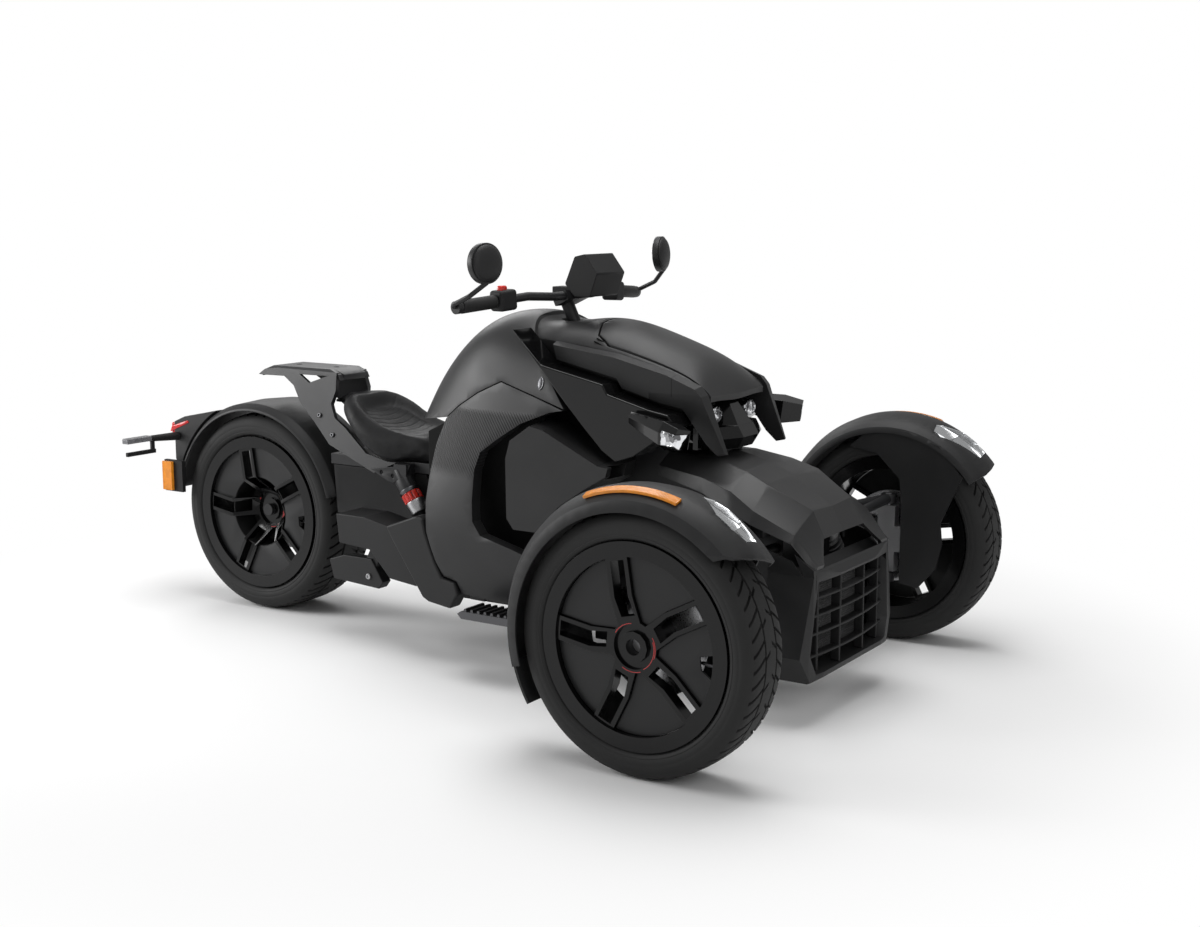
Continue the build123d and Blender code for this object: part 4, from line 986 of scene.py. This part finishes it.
class TRIKE_OT_wheels(bpy.types.Operator):
    """Gives the wheels gloss spokes, satin covers with a valve window, a valve and marked hub nuts"""
    bl_idname = "trike.wheels"
    bl_label = "Wheels"

    def deep_hub(self, rim, covers, centre, axle):
        """Widens the front wheel's shape to the rear one and sinks its hub into a dark bowl."""
        widths = [high.y - low.y for low, high in (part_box("rear_rim"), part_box("front_right_rim"))]
        outer_shift = (widths[0] - widths[1]) / 2
        place = Matrix.Translation(axle - centre + Vector((0, -outer_shift, 0)))
        for piece in (rim, covers):
            piece.data.transform(place)
        for vert in rim.data.vertices:
            if vert.co.y - axle.y > 0.02 and (vert.co - axle).xz.length > 0.15:
                vert.co.y += 2 * outer_shift
        middle = copy_piece(rim, "rear_hub_spokes", Matrix.Identity(4))
        for piece, operation in ((rim, "DIFFERENCE"), (middle, "INTERSECT"), (covers, "DIFFERENCE")):
            cut_out(piece, start_drum("hub_drum", BOWL_RADIUS, 0.4, 96, axle, ACROSS), operation)
        for vert in middle.data.vertices:
            inward = (BOWL_RADIUS - (vert.co - axle).xz.length) / (BOWL_RADIUS - HUB_RADIUS)
            vert.co.y += HUB_SINK * min(1.0, max(0.0, inward))
            vert.co.y = min(vert.co.y, axle.y + 0.024)
        bowl = start_drum("rear_wheel_bowl", BOWL_RADIUS + 0.002, BOWL_DEPTH, 96, turn=ACROSS)
        edit(bowl)
        pick(lambda f: f.normal.y < -0.9)
        bpy.ops.mesh.inset(thickness=0.003, depth=0)
        bpy.ops.mesh.extrude_region_move(TRANSFORM_OT_translate={"value": (0, BOWL_DEPTH - 0.003, 0)})
        leave()
        front = min(v.co.y for v in covers.data.vertices)
        bowl.data.transform(Matrix.Translation((axle.x, front + BOWL_DEPTH / 2, axle.z)))
        round_edges(bowl, 0.001, 2)
        finish_piece(bowl, "rear_wheel", "wheel void")
        return join([rim, middle], "rear_spoked_rim")

    def open_window(self, label, covers, axle, facing, face):
        """Cuts the window for the tyre valve into the covers."""
        corners = [axle + Vector((x / 1000, 0, z / 1000)) + facing * (face - 0.02) for x, z in VALVE_WINDOW]
        window = plate(label + "_window", corners, 0.04)
        middle = sum((v.co for v in window.data.vertices), Vector()) / len(window.data.vertices)
        window.data.transform(Matrix.Translation(facing * (face - (middle - axle).dot(facing))))
        cut_out(covers, window)

    def add_valve(self, label, axle, facing, face):
        valve = start_drum(label + "_valve", 0.0042, 0.04, 16)
        press_in(valve, faces_up, (0.0012, 0.006), (0.0008, 0.004))
        foot = axle + Vector((0.176, 0, -0.018)) + facing * (face - 0.016)
        valve.data.transform(Matrix.Translation(foot) @ aim((-1, 0, 0.1)))
        finish_piece(valve, label + "_wheel", "dark steel")

    def execute(self, context):
        for label in ("front_right", "front_left", "rear"):
            body = label + "_wheel"
            axle = joint_place(label + "_wheel_spin")
            facing = Vector((0, 1 if label == "front_left" else -1, 0))
            source = "front_right_rim" if label == "rear" else label + "_rim"
            centre = FRONT_AXLE if label == "rear" else axle
            rim = from_node(source, label + "_spoked_rim", lambda mid: (mid - centre).xz.length < ON_AXLE)
            covers = from_node(source, label + "_wheel_covers",
                               lambda mid: (mid - centre).xz.length >= ON_AXLE)
            if label == "rear":
                rim = self.deep_hub(rim, covers, centre, axle)
            round_edges(rim, 0.0018, 2, 24)
            finish_piece(rim, body, "spoke paint", [label + "_rim"])
            face = max((v.co - axle).dot(facing) for v in covers.data.vertices)
            self.open_window(label, covers, axle, facing, face)
            round_edges(covers, 0.0014, 2, 30)
            finish_piece(covers, body, "wheel paint")
            self.add_valve(label, axle, facing, face)
            hub_face = max((v.co - axle).dot(facing) for v in rim.data.vertices
                           if HUB_FACE[0] < (v.co - axle).xz.length < HUB_FACE[1])
            seat = axle + facing * (hub_face - 0.0004)
            marks = [arc_mark(label + "_mark", seat, *arc, 0.0009, facing) for arc in HUB_ARCS]
            finish_piece(join(marks, label + "_hub_marks"), body, "red mark")
        return {"FINISHED"}


# How much wider the headlamp clusters are than their nodes, the middle of one, and a side lamp's tip
LAMP_WIDENING = 1.4
LAMP_MIDDLE = st(-170, 88, 697)
SIDE_LAMP_TIP = st(-128, 0, 664)

# Half the distance that parts the headlamps from the side lamps
LAMP_SPLIT = 0.15


class TRIKE_OT_lamps(bpy.types.Operator):
    """Facets the headlamp clusters and the lenses of the side lamps"""
    bl_idname = "trike.lamps"
    bl_label = "Lamps"

    def execute(self, context):
        inner = from_node("lamp_lenses", "headlamp_clusters", lambda mid: abs(mid.y) < LAMP_SPLIT)
        for vert in inner.data.vertices:
            side = math.copysign(1, vert.co.y)
            vert.co.y = side * (LAMP_MIDDLE.y + (abs(vert.co.y) - LAMP_MIDDLE.y) * LAMP_WIDENING)
        for shift in (-0.015, -0.003, 0.009):
            cut_across(inner, [Vector((0, side * (LAMP_MIDDLE.y + shift), 0)) for side in (-1, 1)], (0, 1, 0))
        for shift in (-0.012, 0.0, 0.012):
            cut_across(inner, [Vector((0, 0, LAMP_MIDDLE.z + shift))], (0, 0.2, 1))
        edit(inner)
        front = max(v.co.x for v in inner.data.vertices)
        pick(lambda f: f.normal.x > 0.8 and f.calc_center_median().x > front - 0.003)
        bpy.ops.mesh.inset(thickness=0.0012, depth=-0.0015, use_individual=True)
        bpy.ops.mesh.poke(offset=-0.003)
        leave()
        finish_piece(inner, "chassis", "lamp reflector", ["lamp_lenses"])
        outer = from_node("lamp_lenses", "side_lamp_crystals", lambda mid: abs(mid.y) >= LAMP_SPLIT)
        for shift in (0.012, 0.026):
            cut_across(outer, [Vector((SIDE_LAMP_TIP.x - shift, 0, 0))], (1, 0, 0.25))
        for shift in (-0.008, 0.006):
            cut_across(outer, [Vector((0, 0, SIDE_LAMP_TIP.z + shift))], (0.2, 0, 1))

        def shows(face):
            outside = face.normal.y * face.calc_center_median().y > 0
            sideways = abs(face.normal.y) > 0.7 and outside
            return face.calc_area() > 0.00003 and (face.normal.x > 0.4 or sideways)

        edit(outer)
        pick(shows)
        bpy.ops.mesh.inset(thickness=0.001, depth=-0.001, use_individual=True)
        bpy.ops.mesh.poke(offset=-0.002)
        leave()
        finish_piece(outer, "chassis", "lamp reflector")
        return {"FINISHED"}


# Height of the domes on the mirrors' backs
MIRROR_RISE = 0.014


class TRIKE_OT_controls(bpy.types.Operator):
    """Domes the backs of the mirrors"""
    bl_idname = "trike.controls"
    bl_label = "Mirrors"

    def execute(self, context):
        shell = [vert.co for vert in NODES["mirrors"].data.vertices]
        domes = []
        for side in (-1, 1):
            glass = from_node("mirror_glass", "glass_copy", lambda mid: mid.y * side > 0)
            back = max(glass.data.polygons, key=lambda face: face.area)
            ahead = -back.normal if back.normal.x < 0 else back.normal
            centre = sum((vert.co for vert in glass.data.vertices), Vector()) / len(glass.data.vertices)
            radius = max((vert.co - centre).length for vert in glass.data.vertices)
            reach = [(spot - centre).dot(ahead) for spot in shell
                     if spot.y * side > 0 and (spot - centre).length < radius * 1.2]
            seat = Matrix.Translation(centre + ahead * (max(reach) - 0.001)) @ aim(ahead)
            bpy.data.objects.remove(glass)
            clear_selection()
            bpy.ops.mesh.primitive_uv_sphere_add(segments=64, ring_count=32, radius=1, location=(0, 0, 0))
            dome = start("mirror_dome")
            edit(dome)
            select_all()
            bpy.ops.mesh.bisect(plane_co=(0, 0, 0), plane_no=(0, 0, 1), use_fill=True, clear_inner=True)
            leave()
            dome.data.transform(seat @ Matrix.Diagonal((radius, radius, MIRROR_RISE, 1)))
            domes.append(dome)
        made = join(domes, "mirror_domes")
        smooth_shade(40)
        finish_piece(made, "steering", "matte mudguard")
        return {"FINISHED"}


# Corners and holes of the plate at the rear shock's top, as stations and heights in millimetres
SHOCK_BRACKET = [(-1232, 474), (-1090, 496), (-1098, 478), (-1150, 440), (-1172, 446)]
BRACKET_HOLES = [(-1192, 468), (-1152, 461), (-1116, 482)]
SHOCK_BRACKET_Y = -133

# Ends of the rear shock
SHOCK_TOP = st(-1135, -128, 480)
SHOCK_FOOT = st(-1048, -128, 352)


class TRIKE_OT_rear_shock(bpy.types.Operator):
    """Adds the red adjuster, the collar, the bright sleeve and the bracket of the rear shock"""
    bl_idname = "trike.rear_shock"
    bl_label = "Rear shock"

    def sleeve(self, name, share, radius, depth, sides, material, slot):
        """Ring around the shock at a share of its length; one with many sides is notched."""
        piece = start_drum(name, radius, depth, sides)
        edit(piece)
        pick(lambda f: abs(f.normal.z) > 0.9)
        bpy.ops.mesh.inset(thickness=radius * 0.18, depth=radius * 0.12, use_individual=True)
        if sides > 20:
            pick(lambda f: abs(f.normal.z) < 0.1 and f.index % 2 == 0)
            bpy.ops.mesh.inset(thickness=radius * 0.03, depth=-radius * 0.08, use_individual=True)
        leave()
        round_edges(piece, radius * 0.05, 2)
        along = SHOCK_FOOT - SHOCK_TOP
        piece.data.transform(Matrix.Translation(SHOCK_TOP + along * share) @ aim(along.normalized()))
        finish_piece(piece, "chassis", material)

    def execute(self, context):
        self.sleeve("shock_adjuster", 0.56, 0.0275, 0.024, 28, "red knob", "steel")
        self.sleeve("shock_collar", 0.44, 0.0285, 0.010, 16, "dark steel", "steel")
        self.sleeve("shock_sleeve", 0.76, 0.0265, 0.034, 20, "turned steel", "aluminium")
        bracket = plate("shock_bracket", [st(s, SHOCK_BRACKET_Y, z) for s, z in SHOCK_BRACKET], 0.005)
        for station, height in BRACKET_HOLES:
            place = st(station, SHOCK_BRACKET_Y, height)
            cut_out(bracket, start_drum("bracket_drill", 0.006, 0.04, 24, place, ACROSS))
        round_edges(bracket, 0.0008, 2)
        finish_piece(bracket, "chassis", "frame paint")
        return {"FINISHED"}


# Dark cover ahead of the rear wheel and opening of the rack, as stations and heights in millimetres
INNER_COVER = [(-1396, 468), (-1180, 468), (-1060, 468), (-1042, 430), (-1052, 360), (-1150, 316),
               (-1386, 330)]
INNER_COVER_Y = -101
RACK_OPENING = [(-1398, 640), (-1398, 760), (-1200, 760), (-1200, 600), (-1300, 600)]
RACK_OPENING_HALF_W = 0.0475


class TRIKE_OT_rear_covers(bpy.types.Operator):
    """Adds the dark cover ahead of the rear wheel and opens the rack between its legs"""
    bl_idname = "trike.rear_covers"
    bl_label = "Rear covers"

    def execute(self, context):
        cover = plate("rear_inner_cover", [st(s, INNER_COVER_Y, z) for s, z in INNER_COVER], 0.001)
        edit(cover)
        pick(lambda f: f.normal.y > 0.9)
        bpy.ops.mesh.extrude_region_move(TRANSFORM_OT_translate={"value": (0, 0.06, 0)})
        pick(lambda f: f.normal.y < -0.9)
        bpy.ops.mesh.inset(thickness=0.012, depth=-0.004)
        leave()
        outward(cover)
        round_edges(cover, 0.004, 3)
        finish_piece(cover, "chassis", "matte moulding")

        rack = from_node("rear_rack", "open_rear_rack")
        block = plate("rack_opening", [st(s, -50, z) for s, z in RACK_OPENING], 0.001)
        for vert in block.data.vertices:
            pushed = abs(vert.co.y + 0.05) > 0.0001
            vert.co.y = -RACK_OPENING_HALF_W if pushed else RACK_OPENING_HALF_W
        outward(block)
        cut_out(rack, block)
        round_edges(rack, 0.002, 2, 24)
        finish_piece(rack, "chassis", "frame paint", ["rear_rack"])
        return {"FINISHED"}


class TRIKE_OT_fittings(bpy.types.Operator):
    """Adds screws, the tank plugs, vent slots, the starter switch and the gauge screen"""
    bl_idname = "trike.fittings"
    bl_label = "Fittings"

    def add_screws(self):
        rack = [on_surface("rear_rack", st(station, side * 400, height), (0, -side, 0))
                for side in (-1, 1) for station, height in ((-1452, 604), (-1394, 553))]
        screws("rack_screws", rack, 0.007)
        screws("silencer_screw", [on_surface("silencer", st(-1200, -400, 182), (0, 1, 0))], 0.008,
               "turned steel")

    def add_tank_plugs(self):
        plugs = []
        for side in (-1, 1):
            spot, normal = on_surface("tank_cover", st(-594, side * 500, 759), (0, -side, 0))
            plug = start_drum("tank_plug", 0.017, 0.003, 32)
            edit(plug)
            select_all()
            bpy.ops.transform.resize(value=(1, 0.58, 1))
            leave()
            press_in(plug, faces_up, (0.003, -0.0012), (0.0008, 0.0014))
            turn = aim(normal) @ Matrix.Rotation(math.radians(90), 4, "Z")
            plug.data.transform(Matrix.Translation(spot + normal * 0.0008) @ turn)
            plugs.append(plug)
        made = join(plugs, "tank_plugs")
        round_edges(made, 0.0006, 2)
        finish_piece(made, "chassis", "dark steel")

    def add_vent_slots(self):
        # Painted shade: the vents are not cut; near-black blocks on the cowl stand for the shade inside the
        # openings
        slots = []
        lean = Matrix.Rotation(math.radians(22), 4, "Y")
        for side in (-1, 1):
            for k in range(3):
                aside = st(-460 - 3 * k, side * 400, 872 - 7 * k)
                spot, _ = on_surface("upper_cowl", aside, (0, -side, 0))
                slot = start_block("vent_slot", (0.036, 0.004, 0.0032))
                press_in(slot, lambda f: abs(f.normal.y) > 0.9, (0.0006, -0.0008), each=True)
                slot.data.transform(Matrix.Translation(spot) @ lean)
                slots.append(slot)
        made = join(slots, "cowl_vent_slots")
        round_edges(made, 0.0005, 1)
        finish_piece(made, "chassis", "dark void")

    def add_switch(self):
        low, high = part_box("switchgear")
        above = Vector(((low.x + high.x) / 2, low.y + 0.026, 1.2))
        spot, _ = on_surface("switchgear", above, (0, 0, -1))
        switch = start_block("starter_switch", (0.016, 0.022, 0.016))
        edit(switch)
        pick(faces_up)
        bpy.ops.mesh.extrude_region_move(TRANSFORM_OT_translate={"value": (0, 0, 0.003)})
        bpy.ops.transform.resize(value=(0.7, 0.8, 1))
        leave()
        switch.data.transform(Matrix.Translation(spot))
        round_edges(switch, 0.0015, 2)
        finish_piece(switch, "steering", "red knob")

    def add_screen(self):
        spot, normal = on_surface("gauge_pod", st(-1300, 0, 1036), (1, 0, 0))
        screen = start_block("gauge_screen", (0.112, 0.056, 0.003))
        press_in(screen, faces_up, (0.004, -0.0008))
        screen.data.transform(Matrix.Translation(spot + normal * 0.001) @ aim(normal))
        round_edges(screen, 0.0008, 2)
        finish_piece(screen, "steering", "screen glass")

    def execute(self, context):
        self.add_screws()
        self.add_tank_plugs()
        self.add_vent_slots()
        self.add_switch()
        self.add_screen()
        return {"FINISHED"}


# What each solid of the model is finished in, with the radius of its edges in millimetres
NODE_FINISH = {
    "engine_block": ("dark void", 3), "engine_covers": ("satin body", 7), "side_panels": ("ribbed panel", 5),
    "tank_cover": ("satin body", 6), "upper_cowl": ("satin body", 3), "storage_lid": ("satin body", 4),
    "cowl_blades": ("cowl blade", 5), "shoulder_panels": ("gloss black", 6),
    "headlight_unit": ("gloss black", 2.5),
    "lamp_lenses": ("clear lens", 1.5), "aux_lamps": ("gloss black", 4), "nose_hood": ("satin body", 5),
    "front_bumper": ("matte mudguard", 6), "grille": ("matte moulding", 3), "radiator": ("radiator core", 1),
    "main_frame": ("frame paint", 3), "front_arms": ("frame paint", 2), "front_shocks": ("frame paint", 1.5),
    "handlebar": ("frame paint", 2), "grips": ("grip rubber", 2), "switchgear": ("matte moulding", 1),
    "gauge_pod": ("matte moulding", 2), "mirrors": ("satin body", 3), "mirror_glass": ("mirror silver", 0.5),
    "seat": ("seat leather", 8), "rear_rack": ("frame paint", 2), "rear_fender": ("matte mudguard", 2.5),
    "tail_housing": ("satin body", 6), "tail_lens": ("red lens", 3), "tail_signals": ("matte moulding", 1.5),
    "signal_lenses": ("smoked lens", 3), "side_reflectors": ("amber lens", 1.5),
    "swingarm": ("frame paint", 4),
    "rear_shock": ("frame paint", 1.5), "silencer": ("matte mudguard", 5),
    "rear_skirts": ("matte mudguard", 6),
    "belly_pan": ("matte moulding", 4), "footpegs": ("dark steel", 1.5), "rear_tyre": ("tyre rubber", 3),
    "rear_rim": ("wheel paint", 2), "rear_brake_disc": ("turned steel", 0.8),
}
SIDE_FINISH = {
    "tyre": ("tyre rubber", 3), "rim": ("wheel paint", 2), "brake_disc": ("turned steel", 0.8),
    "knuckle": ("cast aluminium", 3), "tie_rod": ("frame paint", 1), "brake_caliper": ("frame paint", 3),
    "fender": ("matte mudguard", 2), "fender_lamps": ("amber lens", 1),
}
NODE_FINISH.update({"front_" + side + "_" + name: finish
                    for side in ("left", "right") for name, finish in SIDE_FINISH.items()})


class TRIKE_OT_solids(bpy.types.Operator):
    """Finishes the solids of the model: rounded edges and a material on each"""
    bl_idname = "trike.solids"
    bl_label = "Finish the solids"

    def execute(self, context):
        for name, (finish, radius) in NODE_FINISH.items():
            solid = NODES[name]
            solid.data.materials.clear()
            solid.data.materials.append(MATS[finish])
            weld = solid.modifiers.new("weld", "WELD")
            weld.merge_threshold = MERGE
            flat = solid.modifiers.new("flats", "DECIMATE")
            flat.decimate_type = "DISSOLVE"
            flat.angle_limit = FLAT
            rounding = solid.modifiers.new("rounded edges", "BEVEL")
            rounding.width = radius / 1000
            rounding.segments = 3 if radius > 2.4 else 2
            rounding.limit_method = "ANGLE"
            rounding.angle_limit = math.radians(24)
            rounding.harden_normals = True
        return {"FINISHED"}


# Softboxes: place, point that each faces, size and power
SOFTBOXES = {
    "overhead softbox": ((0.3, 0.3, 4.0), (0, 0, 0.3), (3.4, 2.6), 115),
    "front softbox": ((3.8, -2.4, 2.4), (0.4, 0, 0.5), (1.6, 1.6), 26),
    "side softbox": ((-4.0, -2.3, 1.9), (-0.2, -0.2, 0.5), (2.0, 2.2), 150),
    "back softbox": ((-3.2, 2.8, 3.0), (0.3, 0, 0.6), (2.6, 1.2), 40),
}
CAMERA_PLACE = (2.6155, -3.531, 1.213)
FILL_STRENGTH = 0.2
MIRRORED_SHARE = 0.3

# Distances from the middle between which the floor fades to white
FLOOR_FADE = (1.15, 2.1)


def direct_rays(owner):
    """Sockets of the light path, and one that is 1 for rays from the camera, also through glass."""
    path = node(owner, "ShaderNodeLightPath").outputs
    return path, calculate(owner, "MAXIMUM", path["Is Camera Ray"], path["Is Transmission Ray"])


def mix_shaders(owner, share, first, second, out):
    mix = node(owner, "ShaderNodeMixShader")
    link(owner, share, mix.inputs[0])
    link(owner, first.outputs[0], mix.inputs[1])
    link(owner, second.outputs[0], mix.inputs[2])
    link(owner, mix.outputs[0], out.inputs["Surface"])


class TRIKE_OT_stage(bpy.types.Operator):
    """Sets the floor, the light and the camera"""
    bl_idname = "trike.stage"
    bl_label = "Stage"

    def set_world(self, scene):
        """White to the camera, dimmer in reflections and a soft fill elsewhere."""
        world = bpy.data.worlds.new("studio")
        scene.world = world
        world.use_nodes = True
        world.node_tree.nodes.clear()
        out = node(world, "ShaderNodeOutputWorld")
        fill = node(world, "ShaderNodeBackground", Color=(1, 1, 1, 1), Strength=FILL_STRENGTH)
        white = node(world, "ShaderNodeBackground", Color=(1, 1, 1, 1), Strength=1.0)
        path, direct = direct_rays(world)
        mirrored = calculate(world, "MULTIPLY", path["Is Glossy Ray"], MIRRORED_SHARE)
        mix_shaders(world, calculate(world, "MAXIMUM", direct, mirrored), fill, white, out)

    def lay_floor(self):
        """Paper that takes the shadow and fades to white further out."""
        clear_selection()
        bpy.ops.mesh.primitive_circle_add(vertices=96, radius=14, fill_type="NGON", location=(0, 0, 0))
        floor = start("studio_floor")
        paper, shader = new_material("studio paper", (0.93, 0.93, 0.93), 0.9, spec=0.1)
        glow = node(paper, "ShaderNodeEmission")
        away = node(paper, "ShaderNodeVectorMath", operation="LENGTH")
        link(paper, node(paper, "ShaderNodeTexCoord").outputs["Object"], away.inputs[0])
        fade = ramp(paper, away.outputs["Value"], *FLOOR_FADE)
        fade.node.interpolation_type = "SMOOTHSTEP"
        path, direct = direct_rays(paper)
        seen = calculate(paper, "MAXIMUM", direct, path["Is Glossy Ray"])
        shown = calculate(paper, "MULTIPLY", seen, fade)
        mix_shaders(paper, shown, shader, glow, paper.node_tree.nodes["Material Output"])
        floor.data.materials.append(paper)

    def execute(self, context):
        scene = context.scene
        sizes = scene.trike_sizes
        scene.view_settings.view_transform = "Standard"
        self.set_world(scene)
        self.lay_floor()
        for name, (place, target, size, power) in SOFTBOXES.items():
            lamp = bpy.data.lights.new(name, "AREA")
            lamp.shape = "RECTANGLE"
            lamp.size, lamp.size_y = size
            lamp.energy = power
            softbox = bpy.data.objects.new(name, lamp)
            scene.collection.objects.link(softbox)
            softbox.location = place
            softbox.rotation_euler = (Vector(target) - Vector(place)).to_track_quat("-Z", "Y").to_euler()

        view = bpy.data.cameras.new("photo view")
        view.sensor_width = 36
        view.sensor_fit = "HORIZONTAL"
        view.lens = sizes.camera_lens
        view.clip_end = 100
        camera = bpy.data.objects.new("photo view", view)
        scene.collection.objects.link(camera)
        camera.location = CAMERA_PLACE
        camera.rotation_euler = (math.pi / 2 + sizes.camera_pitch, 0, sizes.camera_yaw - math.pi / 2)
        scene.camera = camera
        return {"FINISHED"}


class TRIKE_PT_panel(bpy.types.Panel):
    """Lists the building steps"""
    bl_idname = "TRIKE_PT_panel"
    bl_label = "Three-wheeler"
    bl_space_type = "VIEW_3D"
    bl_region_type = "UI"
    bl_category = "Trike"

    def draw(self, context):
        for group in (context.scene.trike_finishes, context.scene.trike_sizes):
            for name in group.__annotations__:
                self.layout.prop(group, name)
        for step in STEPS:
            self.layout.operator(step.bl_idname)


STEPS = [TRIKE_OT_materials, TRIKE_OT_tyres, TRIKE_OT_seat, TRIKE_OT_mudguard_lamps, TRIKE_OT_tail,
         TRIKE_OT_wheels, TRIKE_OT_lamps, TRIKE_OT_controls, TRIKE_OT_rear_shock, TRIKE_OT_rear_covers,
         TRIKE_OT_fittings, TRIKE_OT_solids, TRIKE_OT_stage]
CLASSES = [TrikeFinishes, TrikeSizes, *STEPS, TRIKE_PT_panel]


def register():
    for cls in CLASSES:
        bpy.utils.register_class(cls)
    bpy.types.Scene.trike_finishes = bpy.props.PointerProperty(type=TrikeFinishes)
    bpy.types.Scene.trike_sizes = bpy.props.PointerProperty(type=TrikeSizes)


def unregister():
    del bpy.types.Scene.trike_sizes
    del bpy.types.Scene.trike_finishes
    for cls in reversed(CLASSES):
        bpy.utils.unregister_class(cls)


def main():
    register()
    for step in STEPS:
        group, name = step.bl_idname.split(".")
        getattr(getattr(bpy.ops, group), name)()


if __name__ == "__main__":
    main()
